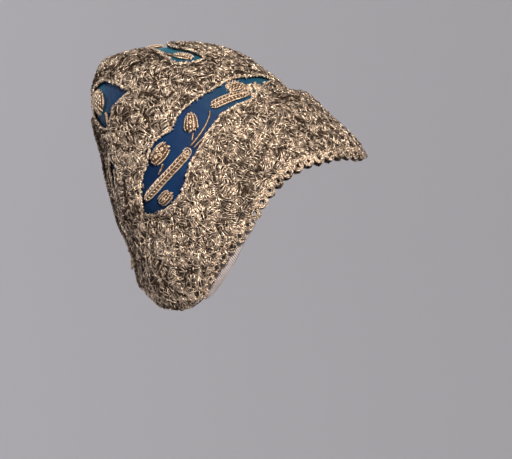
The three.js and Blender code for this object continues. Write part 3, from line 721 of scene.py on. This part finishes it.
# %% Fans of stitches
FAN_SPACING, FAN_LIMIT, FAN_TRIES = 3.85, 4000, 30  # the last: places tried for each fan kept
FAN_THREADS, FAN_ARC, FAN_WIDTH = 7, 3, 7.4
FAN_LENGTH, ARC_LENGTH, ARC_BEYOND = 6.0, 3.4, 2.3
FAN_HEIGHTS = 1.2  # mm between the lowest fans and the highest
STITCH_THICK = 0.57
DEPTH_SHADE_AND_TARNISH = 0.55  # painted shade, partly tarnish: how much darker the lowest fans are than the highest
BROW_SHADE, NAPE_SHADE, CROWN_SHADE = (0.20, 75, -40), (0.42, 135, 25), (0.30, 0.6, 0.3)  # painted shade towards the brow, the nape and the top; see shade_ramp
LOOSE_SPREAD, LONG_THREADS = 3.6, 90
NAPE_THREADS, NAPE_ANGLES, NAPE_SHARES = 900, (150, 210), (0.24, 0.84)
OVERHANG = 0.2  # mm that a stitch's end may reach past the lace
FRONT_END, SIDES_END, UPPER_FROM = 60, 118, 0.72  # where the lace is cut into pieces

rng = np.random.default_rng(7)
draw, drift = rng.uniform, rng.normal  # even and bell-shaped draws


def scatter(limit, spacing):
    """Angles and climbs spread evenly by area, no two nearer than the spacing."""
    tries = limit * FAN_TRIES
    angle, height = draw(0, 360, tries), draw(LOWEST, 1.0, tries)
    climb = climb_of(height)
    point, _, per_turn, per_climb = silk_frame(angle, climb)
    area = np.linalg.norm(np.cross(per_turn, per_climb), axis=1) / (2 * (1 - np.minimum(climb, NEAR_TOP)))
    chosen = np.flatnonzero(draw(0, area.max(), len(area)) < area)
    kept, cells = [], {}
    for k in chosen:
        x, y, z = (point[k] // spacing).astype(int)
        near = [
            q for dx in (-1, 0, 1) for dy in (-1, 0, 1) for dz in (-1, 0, 1)
            for q in cells.get((x + dx, y + dy, z + dz), ())
        ]
        if all(np.sum((point[q] - point[k]) ** 2) >= spacing**2 for q in near):
            cells.setdefault((x, y, z), []).append(k)
            kept.append(k)
            if len(kept) >= limit:
                break
    return angle[kept], climb[kept]


def shade_ramp(value, darkening, start, over):
    """Painted shade that grows from a start over a distance."""
    return darkening * np.clip((value - start) / over, 0, 1)


fan_angle, fan_climb = scatter(FAN_LIMIT, FAN_SPACING)
fans = len(fan_angle)
fan_heading = draw(0, math.tau, fans)
fan_tone = draw(0.03, 0.37, fans)
fan_height = draw(0, 1, fans)
fan_lift = GROUND_FACE + 0.1 + FAN_HEIGHTS * fan_height
# Painted shade: fans towards the brow, the nape and the top get darker tones, and lower fans darker  ones
# than higher, partly for tarnish in the depth of the lace.
fan_shade_and_tarnish = (
    shade_ramp(from_front(fan_angle), *BROW_SHADE) + shade_ramp(from_front(fan_angle), *NAPE_SHADE)
    + shade_ramp(share_of(fan_climb), *CROWN_SHADE) + DEPTH_SHADE_AND_TARNISH * (0.6 - fan_height)
)
fan_spread = draw(0.25, 1.7, fans)
fan_reach = FAN_WIDTH / fan_spread
fan_flip = math.pi * rng.integers(0, 2, fans)  # turns the bow of a fan's threads to the other side
parts = []
for k in range(FAN_THREADS + FAN_ARC):
    binding = k >= FAN_THREADS
    step = (k - FAN_THREADS) / (FAN_ARC - 1) if binding else k / (FAN_THREADS - 1)
    heading = fan_heading + (step - 0.5) * fan_spread + drift(0, 0.035, fans)
    reach = fan_reach + (ARC_BEYOND if binding else drift(0, 0.3, fans))
    parts.append(laid(
        fan_angle, fan_climb,
        reach * np.cos(heading) - fan_reach * np.cos(fan_heading),
        reach * np.sin(heading) - fan_reach * np.sin(fan_heading),
        heading + (math.pi / 2 if binding else fan_flip),
        (ARC_LENGTH if binding else FAN_LENGTH) + drift(0, 0.6, fans),
        fan_tone + fan_shade_and_tarnish + draw(-0.55, 0.9, fans),
        fan_lift + draw(0, 0.25, fans) + 0.25 * binding,
    ))
loose = rng.integers(0, fans, fans)
parts.append(laid(
    fan_angle[loose], fan_climb[loose], drift(0, LOOSE_SPREAD, fans), drift(0, LOOSE_SPREAD, fans),
    draw(0, math.tau, fans), draw(2.5, 6.0, fans), draw(-0.3, 0.7, fans),
    LACE_FACE + draw(-0.1, 1.1, fans), drift(0, 0.25, fans),
))
n = LONG_THREADS
loose = rng.integers(0, fans, n)
parts.append(laid(
    fan_angle[loose], fan_climb[loose], 0, 0, draw(0, math.tau, n), draw(7, 10.5, n), 0.0,
    LACE_FACE + draw(0.7, 1.3, n),
))
n = NAPE_THREADS
parts.append(laid(
    draw(*NAPE_ANGLES, n), climb_of(draw(*NAPE_SHARES, n)), 0, 0, draw(0, math.tau, n),
    draw(2.0, 4.5, n), draw(0.3, 1.2, n), LACE_FACE + draw(0, 1.0, n), drift(0, 0.4, n),
))
lace = joined(parts)
region = in_lace(lace["angle"], lace["climb"], 0.3)
for end in (0, 1):
    held = in_lace(lace["end_angle"][:, end], lace["end_climb"][:, end], -OVERHANG) > 0
    region = np.where(held, region, 0)
print("fans:", fans, "stitches kept:", int((region > 0).sum()), "of", len(region))

around = from_front(lace["angle"])
high_up = share_of(lace["climb"]) > UPPER_FROM
for name, mask, seed in [
    ("band_lace_front", (region == 1) & (around < FRONT_END), 11),
    ("band_lace_sides", (region == 1) & (around >= FRONT_END) & (around < SIDES_END), 12),
    ("band_lace_lobes", (region == 1) & (around >= SIDES_END), 13),
    ("crown_lace_lower", (region == 2) & ~high_up, 14),
    ("crown_lace_upper", (region == 2) & high_up, 15),
]:
    piece = {key: values[mask] for key, values in lace.items()}
    sew(name, piece, STITCH_THICK, lace_material, seed, stitch=bowed_stitch)

# %% [markdown]
# A cut edge of lace is whipped with thread so that it can't ravel. Short turns stand across each
# window's edge, and a twisted cord lies along it. The path is walked at even steps of length, and
# each step gives a place and the direction that the edge runs in.

# %% Whipped edges of the windows
WHIP_THICK = 0.85
WHIPPING = [  # step, how far aside, turn from the edge, length, random turn
    (1.5, 0.4, math.pi / 2, 2.1, 0.4), (1.3, 0.25, 0.25, 2.3, 0.15), (1.9, 0.8, 0.0, 3.0, 0.5),
]


def run_of(points):
    """The length of the path at each of its points."""
    return np.concatenate([[0], np.cumsum(np.linalg.norm(np.diff(points, axis=0), axis=1))])


def walk(angle, climb, step):
    """Even steps along a path: angles, climbs and the heading there."""
    length = run_of(silk_point(angle, climb))
    count = max(2, int(round(length[-1] / step)))
    at = (np.arange(count) + 0.5) * length[-1] / count
    out_angle, out_climb = np.interp(at, length, angle), np.interp(at, length, climb)
    _, _, per_turn, per_climb = silk_frame(out_angle, out_climb)
    middle = (length[1:] + length[:-1]) / 2
    slope = [np.interp(at, middle, np.diff(v) / np.diff(length)) for v in (angle, climb)]
    across = slope[0] * np.linalg.norm(per_turn, axis=-1)
    up = slope[1] * np.linalg.norm(per_climb, axis=-1)
    return out_angle, out_climb, np.arctan2(up, across)


edge_paths = []
for side in (1, -1):
    angles = np.linspace(SEAM_FRONT - 1, SEAM_BACK + 1, 300)
    edge_paths += [(side * angles, climb_at(edge(angles))) for edge in (band_top, crown_foot)]
for first, last, low, high in WINDOWS:
    angles = np.linspace(first, last, 160)
    edge_shares = np.concatenate([low(angles), high(angles[::-1])])
    edge_paths.append((np.concatenate([angles, angles[::-1]]), climb_of(edge_shares)))
parts = []
for angles, climbs in edge_paths:
    apart = np.concatenate([[True], np.hypot(np.diff(angles), 200 * np.diff(climbs)) > 1e-4])
    for step, aside, across, long, stray in WHIPPING:
        a, c, heading = walk(angles[apart], climbs[apart], step)
        n = len(a)
        parts.append(laid(
            a, c, drift(0, aside, n), drift(0, aside, n),
            heading + across + drift(0, stray, n), long + draw(-0.4, 0.4, n),
            draw(-0.2, 0.7, n), LACE_FACE - 0.1 + draw(0, 0.6, n),
        ))
sew("window_edges", joined(parts), WHIP_THICK, lace_material, 21)

# %% [markdown]
# The face edge is a row of rings, as bobbin lace often ends. A wall in the dark ground colour,
# which is painted shade, carries them: its foot is drawn back between the rings, and the middle of
# each ring is pierced. Three circles of thread lie round each hole, and three cords tie the row to the band.

# %% Scalloped edging
SCALLOP_NOTCH, SCALLOP_HOLE, HOLE_ROW, EDGING_WALL = 2.6, 2.4, 0.45, 1.5
COLUMNS_PER_RING, HOLE_COLUMNS, HOLE_ROWS = 8, (3, 4), slice(2, 4)
EDGING_ROWS = np.array([0, 0.14, 0.29, 0.45, 0.61, 0.8, 1])  # shares of its depth
EDGING_FACE, EDGING_THICK = AIR + EDGING_WALL, 0.72
CIRCLES = [(1.7, 0.1), (2.65, 0.35), (3.6, 0.1)]  # radius, lift
RING_STEP, RING_STITCH = 1.3, 2.3
CORDS = [(0.5, 0.4, 0.0), (1.5, 0.3, 0.6), (-0.3, 0.7, 1.3)]  # below the band's foot, lift, turn
TIE_ROWS, TIE_ASIDE, TIE_STITCH, CLOSING_TURNS = (0.45, 0.62, 0.8), (-0.6, 0.6), 2.6, 34
fine_angles = np.linspace(-EDGING_END, EDGING_END, 1201)
rim_run = run_of(silk_point(fine_angles, climb_of(rim_share(from_front(fine_angles)))))
rings = int(round(rim_run[-1] / SCALLOP_PITCH))
steps = np.arange(rings * COLUMNS_PER_RING + 1)
edging_angles = np.interp(steps / steps[-1] * rim_run[-1], rim_run, fine_angles)
edging_depth = ring_depth(edging_angles)
drawn_back = 1 - np.sin(math.pi * (steps % COLUMNS_PER_RING) / COLUMNS_PER_RING)
edging_foot = rim_height(edging_angles) + drawn_back * edging_depth * SCALLOP_NOTCH / EDGING_DEPTH
edging_levels = climb_at(rows_between(edging_foot, band_foot(edging_angles), EDGING_ROWS))
edging_keep = np.ones((len(steps) - 1, len(EDGING_ROWS) - 1), bool)
for column in range(len(steps) - 1):
    if column % COLUMNS_PER_RING in HOLE_COLUMNS and edging_depth[column] > 2 * SCALLOP_HOLE:
        edging_keep[column, HOLE_ROWS] = False
edging = closed_wall(
    "scallop_edging_ground", edging_angles, edging_levels, [EDGING_FACE, AIR],
    keep=edging_keep, around=False,
)
finish(edging, "scallop_edging", ground_material)

ring_angle = edging_angles[COLUMNS_PER_RING // 2::COLUMNS_PER_RING]
ring_climb = climb_at(rim_height(ring_angle) + ring_depth(ring_angle) * HOLE_ROW)
ring_size = np.clip(ring_depth(ring_angle) / EDGING_DEPTH, 0.35, 1) * draw(0.9, 1.06, rings)
parts = []
for radius, lift in CIRCLES:
    count = int(round(math.tau * radius / RING_STEP))
    for k in range(count):
        turn = math.tau * (k + draw(-0.1, 0.1)) / count
        parts.append(laid(
            ring_angle, ring_climb,
            radius * ring_size * math.cos(turn), radius * ring_size * math.sin(turn),
            turn + math.pi / 2 + drift(0, 0.34, rings), RING_STITCH * ring_size,
            draw(-0.1, 0.95, rings), EDGING_FACE + lift + draw(0, 0.3, rings),
        ))
line = np.linspace(3 - EDGING_END, EDGING_END - 3, 900)
for below, lift, turned in CORDS:
    a, c, heading = walk(line, climb_at(band_foot(line) - below), RING_STEP)
    n = len(a)
    parts.append(laid(
        a, c, 0, drift(0, 0.5, n), heading + turned + drift(0, 0.5, n),
        draw(1.8, 3.4, n), draw(-0.2, 0.8, n), EDGING_FACE + lift + draw(0, 0.4, n),
    ))
line = np.linspace(EDGING_END - 4, 360 - EDGING_END + 4, 400)  # the rim of the nape, between the ends
a, c, heading = walk(line, climb_at(band_foot(line) + 0.7), 1.1)
parts.append(laid(
    a, c, 0, 0, heading + drift(0, 0.5, len(a)), TIE_STITCH, draw(0, 0.7, len(a)),
    LACE_FACE - 0.2 + draw(0, 0.4, len(a)),
))
between = edging_angles[COLUMNS_PER_RING:-COLUMNS_PER_RING:COLUMNS_PER_RING]
for row in TIE_ROWS:
    for aside in TIE_ASIDE:
        parts.append(laid(
            between, climb_at(rim_height(between) + ring_depth(between) * row), aside, 0,
            math.pi / 2 - 0.3 * aside + drift(0, 0.3, len(between)), TIE_STITCH,
            draw(0, 0.8, len(between)), EDGING_FACE + 0.1,
        ))
for side in (1, -1):  # a few turns of thread close the silk's rim where the rings die out
    n = CLOSING_TURNS
    near_end = side * draw(EDGING_END - 5, EDGING_END + 4, n)
    parts.append(laid(
        near_end, climb_at(rim_height(near_end) + draw(0.2, 2.6, n)), 0, 0, draw(0, math.pi, n),
        TIE_STITCH, draw(0, 0.8, n), EDGING_FACE + draw(-0.6, 0.5, n),
    ))
sew("edging_threads", joined(parts), EDGING_THICK, lace_material, 22)
print("rings:", rings)

# %% [markdown]
# A ribbed tape inside each lobe shows below the rim. Its ribs stand across it, so both of its skins
# rise and fall along its length, and the light picks each rib out.

# %% Lining tapes
TAPE_WALL, TAPE_PEEK, TAPE_HIDDEN, RIB_PITCH, RIB_RISE = 0.9, 5.0, 10, 1.5, 0.4
TAPE_REACH = [(90, 0.2), (99, 0.35), (110, 0.95), (120, 1), (129, 0.6), (135, 0.3)]  # angle, peek
TAPE_COLUMNS, TAPE_ROWS = 380, 7
tape_peek = curve(*zip(*TAPE_REACH))
tape_material, tree, shader = material("ribbed_tape", Roughness=0.85)
place = add(tree, "ShaderNodeTexCoord").outputs
soil = add(tree, "ShaderNodeTexNoise", {"Vector": place["Object"], "Scale": 90.0, "Detail": 4.0})
feed(shader, {"Base Color": ramp(tree, soil.outputs["Fac"], [
    (0.3, (0.38, 0.32, 0.305)), (0.7, (0.52, 0.455, 0.435)),
])})
for side, node in ((1, "lining_tape_right"), (-1, "lining_tape_left")):
    angles = np.sort(side * np.linspace(TAPE_REACH[0][0], TAPE_REACH[-1][0], TAPE_COLUMNS))
    foot = rim_height(angles) - TAPE_PEEK * tape_peek(from_front(angles))
    head = band_foot(angles) + TAPE_HIDDEN
    levels = climb_at(rows_between(foot, head, np.linspace(0, 1, TAPE_ROWS)))
    run = run_of(silk_point(angles, climb_at(rim_height(angles))))
    ribs = np.broadcast_to((RIB_RISE * np.cos(math.tau * run / RIB_PITCH))[:, None], levels.shape)
    outer = -SILK_WALL - AIR - RIB_RISE
    skins = [outer + ribs, outer - TAPE_WALL + ribs]
    tape = closed_wall(node + "_ribbed", angles, levels, skins, around=False)
    finish(tape, node, tape_material)

# %% [markdown]
# The straps, buds and petals in the windows are raised work: thread sewn over a soft padding. Each
# path below is a short table of stops along the shape. The padding is a low mound with round ends,
# swept along the path, and the threads are laid on it in lanes, each kind of shape in its own way.

# %% Paths of the raised shapes
STRAP_HALF, STEM_HALF, BERRY_HALF, ROSEBUD_HALF = 3.0, 0.7, 5.4, 4.9
LEAF_HALF, BUD_HALF, PETAL_HALF, BRAID_HALF = 4.0, 3.4, 8.6, 3.5
STRAP_RISE, BUD_RISE, LEAF_RISE, STEM_RISE, BRAID_RISE = 2.6, 3.2, 2.2, 1.3, 2.0
BRAID_TOP = 0.85


def stem(*places):
    """A stem of even width through places: angle and height."""
    return "stem", STEM_RISE, STEM_HALF, [(angle, height, 1) for angle, height in places]


SIDE_SHAPES = {  # kind, rise, half width, then the stops: angle, height and share of the half width
    "corn_strap": ("strap", STRAP_RISE, STRAP_HALF, [
        (134, 0.4415, 0.5), (128, 0.448, 1), (116.8, 0.459, 1), (105, 0.471, 1), (99, 0.478, 0.95),
        (96.5, 0.481, 0.4),
    ]),
    "tulip_strap": ("strap", STRAP_RISE, STRAP_HALF, [
        (70, 0.572, 0.4), (67, 0.569, 1), (57, 0.553, 1), (49, 0.533, 0.85), (44, 0.52, 0.3),
    ]),
    "berry": ("berry", BUD_RISE, BERRY_HALF, [
        (119.2, 0.54, 0.3), (116.7, 0.546, 0.85), (111.7, 0.553, 1), (107.2, 0.558, 0.78),
        (105.2, 0.56, 0.26),
    ]),
    "rosebud": ("bud", BUD_RISE, ROSEBUD_HALF, [
        (88.8, 0.542, 0.53), (87.6, 0.556, 1), (85, 0.582, 0.86), (83, 0.606, 0.33),
    ]),
    "point_leaf": ("spray", LEAF_RISE, LEAF_HALF, [
        (53.5, 0.583, 0.2), (49, 0.58, 0.75), (44.5, 0.568, 0.65), (41.5, 0.555, 0.2),
    ]),
    "loop_leaf": ("bud", LEAF_RISE, LEAF_HALF, [
        (126.8, 0.392, 0.45), (125, 0.393, 0.9), (121, 0.397, 1), (117.6, 0.402, 0.6),
    ]),
    "berry_stem": stem((118.2, 0.489), (115.2, 0.5), (113.2, 0.511)),
    "rosebud_stem": stem((91, 0.513), (90, 0.52), (88.3, 0.532)),
    "long_stem": stem((93.6, 0.497), (88, 0.506), (81, 0.522), (74.5, 0.548), (72.6, 0.562)),
    "short_stem": stem((92, 0.482), (88.5, 0.487), (84.5, 0.49)),
    "top_side_bud": ("bud", LEAF_RISE, BUD_HALF, [
        (45.5, 0.783, 0.29), (45, 0.797, 0.88), (45, 0.822, 0.94), (45.5, 0.843, 0.35),
    ]),
    "top_stem": stem((46, 0.849), (46, 0.862), (44, 0.876)),
    "back_petal": ("petal", LEAF_RISE, PETAL_HALF, [
        (161, 0.85, 0.65), (159, 0.866, 0.88), (157, 0.89, 1), (154, 0.912, 0.81), (151, 0.93, 0.42),
    ]),
    "back_stem": stem((147, 0.787), (145, 0.812), (143.5, 0.834)),
}
TOP_BUD = ("bud", LEAF_RISE, BUD_HALF, [
    (0, 0.905, 0.35), (0, 0.915, 0.94), (0, 0.932, 1), (0, 0.944, 0.35),
])
PATH_POINTS, ARCH_POINTS = 33, 13
ARCH_POWER = 0.7  # below 1, so a padding is fuller than a half circle
END_SHARE = 0.15  # the least share of its half width and rise that a round end keeps
THIN_RISE = 0.35  # the share of the rise that a shape keeps where it is thinnest


def heading_along(angle, climb, length):
    _, _, per_turn, per_climb = silk_frame(angle, climb)
    across = np.gradient(angle, length) * np.linalg.norm(per_turn, axis=-1)
    up = np.gradient(climb, length) * np.linalg.norm(per_climb, axis=-1)
    return np.unwrap(np.arctan2(up, across))


def beside(heading, reach):
    """A reach to the left of a heading, as millimetres across and up the cloth."""
    return -np.sin(heading) * reach, np.cos(heading) * reach


def raised(name, node, shape, side, base):
    """A padding swept along a path, and what the threads need to know of it."""
    kind, rise, half_width, stops = shape
    stop_at = np.linspace(0, 1, len(stops))
    angle_at, share_at, half_at = (curve(stop_at, column) for column in zip(*stops))
    at = 0.5 - 0.5 * np.cos(math.pi * np.linspace(0, 1, PATH_POINTS))
    angle, climb, half = side * angle_at(at), climb_of(share_at(at)), half_width * half_at(at)
    length = run_of(silk_point(angle, climb))
    heading = heading_along(angle, climb, length)
    rounding = lambda d: np.sqrt(1 - (1 - np.clip(d, 0, 1)) ** 2)
    ends = np.minimum(rounding(length / half[0]), rounding((length[-1] - length) / half[-1]))
    ends = np.maximum(ends, END_SHARE)
    high = rise * (THIN_RISE + (1 - THIN_RISE) * np.sqrt(half / half.max())) * ends
    half = half * ends
    arch = np.linspace(0, math.pi, ARCH_POINTS)
    across = np.concatenate([np.cos(arch), [-0.5, 0, 0.5]])
    lift = np.concatenate([np.sin(arch).clip(0) ** ARCH_POWER, [0, 0, 0]])
    reach = half[:, None] * across
    at_angle, at_climb, _, _ = moved(angle[:, None], climb[:, None], *beside(heading[:, None], reach))
    points = cap_point(at_angle, at_climb, base + high[:, None] * lift)
    n = len(across)
    faces = [
        (i * n + k, i * n + (k + 1) % n, (i + 1) * n + (k + 1) % n, (i + 1) * n + k)
        for i in range(PATH_POINTS - 1) for k in range(n)
    ]
    faces += [tuple(range(n)), tuple((PATH_POINTS - 1) * n + k for k in range(n - 1, -1, -1))]
    padding = mesh_object(name, worn(points.reshape(-1, 3)) / 1000, faces)
    mesh = bmesh.new()
    mesh.from_mesh(padding.data)
    bmesh.ops.recalc_face_normals(mesh, faces=mesh.faces)
    mesh.to_mesh(padding.data)
    mesh.free()
    finish(padding, node, padding_material)
    return {
        "kind": kind, "base": base, "along": length / length[-1], "length": length[-1],
        "angle": angle, "climb": climb, "heading": heading, "half": half, "high": high,
    }


# %% [markdown]
# Lanes run along a shape at shares of its half width. A table gives each kind of shape its lanes, how
# far apart the stitches follow each other, and how they turn from the run, so a strap reads as
# dashes between two edges and a petal as ranks of satin stitch. Small rings make the eyelets.

# %% Lanes of thread on the raised shapes
LANES = {  # kind: lanes across, pitch, turn from the run, length, random turn
    "strap": [((-0.88, 0, 0.88), 1.35, 0.35, 2.3, 0.15), ((-0.44, 0.44), 2.7, 1.0, 2.0, 0.2)],
    "berry": [
        ((-0.95, 0.95), 1.3, 0.0, 2.2, 0.12), ((-0.62, 0.62), 1.7, 0.0, 2.0, 0.2),
        ((0,), 2.4, 0.8, 1.6, 1.0),
    ],
    "bud": [
        ((-0.92, 0.92), 1.4, 0.0, 2.3, 0.08), ((-0.46, 0.46), 1.6, 0.0, 2.2, 0.1),
        ((0,), 2.0, 0.0, 2.0, 0.1),
    ],
    "spray": [
        ((-0.92, 0.92), 1.6, 0.0, 2.4, 0.15), ((-0.5, 0, 0.5), 2.4, -0.3, 3.0, 0.2),
        ((-1.5, 1.5), 1.2, 0.7, 3.0, 0.6), ((-2.0, 2.0), 1.6, 1.0, 3.0, 0.9),
    ],
    "petal": [
        ((-0.95, 0.95), 1.6, 0.0, 2.5, 0.2),
        ((-0.72, -0.48, -0.24, 0, 0.24, 0.48, 0.72), 2.5, -0.2, 3.3, 0.15),
    ],
    "stem": [((0,), 1.1, 0.2, 1.9, 0.1)],
    "braid": [((-0.75, 0.75), 1.2, 0.75, 3.0, 0.55), ((-0.2, 0.2), 1.2, -0.75, 2.8, 0.55)],
}
EYELETS = {  # kind: place along the shape, and lane
    "bud": [(0.45, 0)],
    "berry": [(0.35, 0.05), (0.55, -0.35), (0.55, 0.3), (0.74, 0)],
}
EYELET_RADIUS, EYELET_STITCH = 0.85, 1.1
CURL_PLACE, CURL_RADII, CURL_STITCH = (97.0, 0.482), (1.3, 2.8), 1.9  # at the corn strap's end
WEAR = {"stem": (0.5, 0.0), "braid": (0.55, 0.45)}  # kind: duller by, and how far threads stand up
RUN = ("angle", "climb", "heading", "half", "high")  # what a shape knows at each place along it
WEB_SPAN, WEB_THREADS, WEB_STITCH = (30, 43), 60, 3.4  # over the silk where a window narrows
FLOWER_THICK, TUFT_THREADS = 0.74, 22


def ring_at(angle, climb, across, up, radius, long, lift):
    """A ring of short stitches round a place."""
    count = max(5, int(round(math.tau * radius / long * 1.3)))
    turn = math.tau * np.arange(count) / count
    return laid(
        angle, climb, across + radius * np.cos(turn), up + radius * np.sin(turn), turn + math.pi / 2,
        long, draw(-0.1, 0.35, count), lift,
    )


def dressed(shape):
    """The eyelets and the lanes of stitches on one raised shape."""
    parts = []
    duller, loosened = WEAR.get(shape["kind"], (0.0, 0.0))

    def spot(at, lane):
        angle, climb, heading, half, high = (np.interp(at, shape["along"], shape[key]) for key in RUN)
        lift = shape["base"] + high * max(0.0, 1 - lane * lane) ** (ARCH_POWER / 2)
        return angle, climb, *beside(heading, half * lane), heading, lift

    for at, lane in EYELETS.get(shape["kind"], ()):
        angle, climb, across, up, _, lift = spot(at, lane)
        parts.append(ring_at(angle, climb, across, up, EYELET_RADIUS, EYELET_STITCH, lift))
    for lanes, pitch, turn, long, stray in LANES[shape["kind"]]:
        for n, lane in enumerate(lanes):
            count = max(2, int(round(shape["length"] / pitch)))
            at = (np.arange(count) + 0.3 + 0.4 * (n % 2)) / count
            angle, climb, across, up, heading, lift = spot(at, lane)
            swing = turn * (1 if lane >= 0 else -1) + drift(0, stray, count)
            parts.append(laid(
                angle, climb, across, up, heading + swing, long, draw(0.0, 0.45, count) + duller,
                lift - 0.1 * (abs(lane) < 1) + loosened * draw(0, 1, count),
                drift(0, 1, count) * loosened,
            ))
    return parts


# The padding is dark orange brown: the hue is its own, and its darkness is painted shade between the
# threads.
padding_material = thread_material(
    "padding_thread", (0.115, 0.055, 0.024), (0.04, 0.019, 0.009), 0.4, 0.3
)
for side, hand in ((1, "right"), (-1, "left")):
    parts = []
    for name, shape in SIDE_SHAPES.items():
        parts += dressed(raised(f"{name}_{hand}_padding", f"{name}_{hand}", shape, side, AIR))
    n = WEB_THREADS
    web_angle = side * draw(*WEB_SPAN, n)
    web_foot, web_head = band_top(web_angle), crown_foot(web_angle)
    web_height = web_foot + draw(0, 0.5, n) * (web_head - web_foot)
    parts.append(laid(
        web_angle, climb_at(web_height), 0, 0, draw(0, math.pi, n), WEB_STITCH, draw(-0.1, 0.6, n),
        AIR + draw(0.4, 1.2, n),
    ))
    curl_angle, curl_climb = side * CURL_PLACE[0], climb_of(CURL_PLACE[1])
    for radius in CURL_RADII:
        parts.append(ring_at(curl_angle, curl_climb, 0, 0, radius, CURL_STITCH, AIR + STRAP_RISE - 0.3))
    sew(f"flower_threads_{hand}", joined(parts), FLOWER_THICK, gold_material, 31 + side)
top_bud = dressed(raised("top_bud_padding", "top_bud", TOP_BUD, 1, AIR))
sew("top_bud_threads", joined(top_bud), FLOWER_THICK, gold_material, 34)

braid_foot = climb_at(float(rim_height(180)) + 4 * AIR)
braid_climbs = braid_foot + (climb_of(BRAID_TOP) - braid_foot) * np.linspace(0, 1, 5)
braid_stops = [(180, float(share_of(climb)), 1) for climb in braid_climbs]
braid = raised(
    "back_braid_padding", "back_braid", ("braid", BRAID_RISE, BRAID_HALF, braid_stops), 1,
    LACE_WALL + 2 * AIR,
)
n = TUFT_THREADS
tuft = laid(
    draw(172, 179, n), climb_of(draw(0.25, 0.29, n)), 0, 0, draw(-2.4, -0.6, n), draw(4, 7.5, n),
    draw(0.2, 0.8, n), LACE_FACE + 2.6, draw(0.5, 1.6, n),
)
sew("back_braid_threads", joined(dressed(braid) + [tuft]), WHIP_THICK, lace_material, 35)

# %% [markdown]
# The two source stitches have done their work and go. The last cell counts what was made, lists the
# solids that are still shown, and hands the scene over.

# %% Hand over
for source in (straight_stitch, bowed_stitch):
    bpy.data.objects.remove(source)
added = [
    o for o in bpy.data.objects if o.type == "MESH" and o.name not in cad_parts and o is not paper
]
triangles = sum(len(p.vertices) - 2 for o in added for p in o.data.polygons)
print("pieces added:", len(added), "triangles:", triangles)
print("solids still shown:", [name for name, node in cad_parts.items() if not node.hide_render])
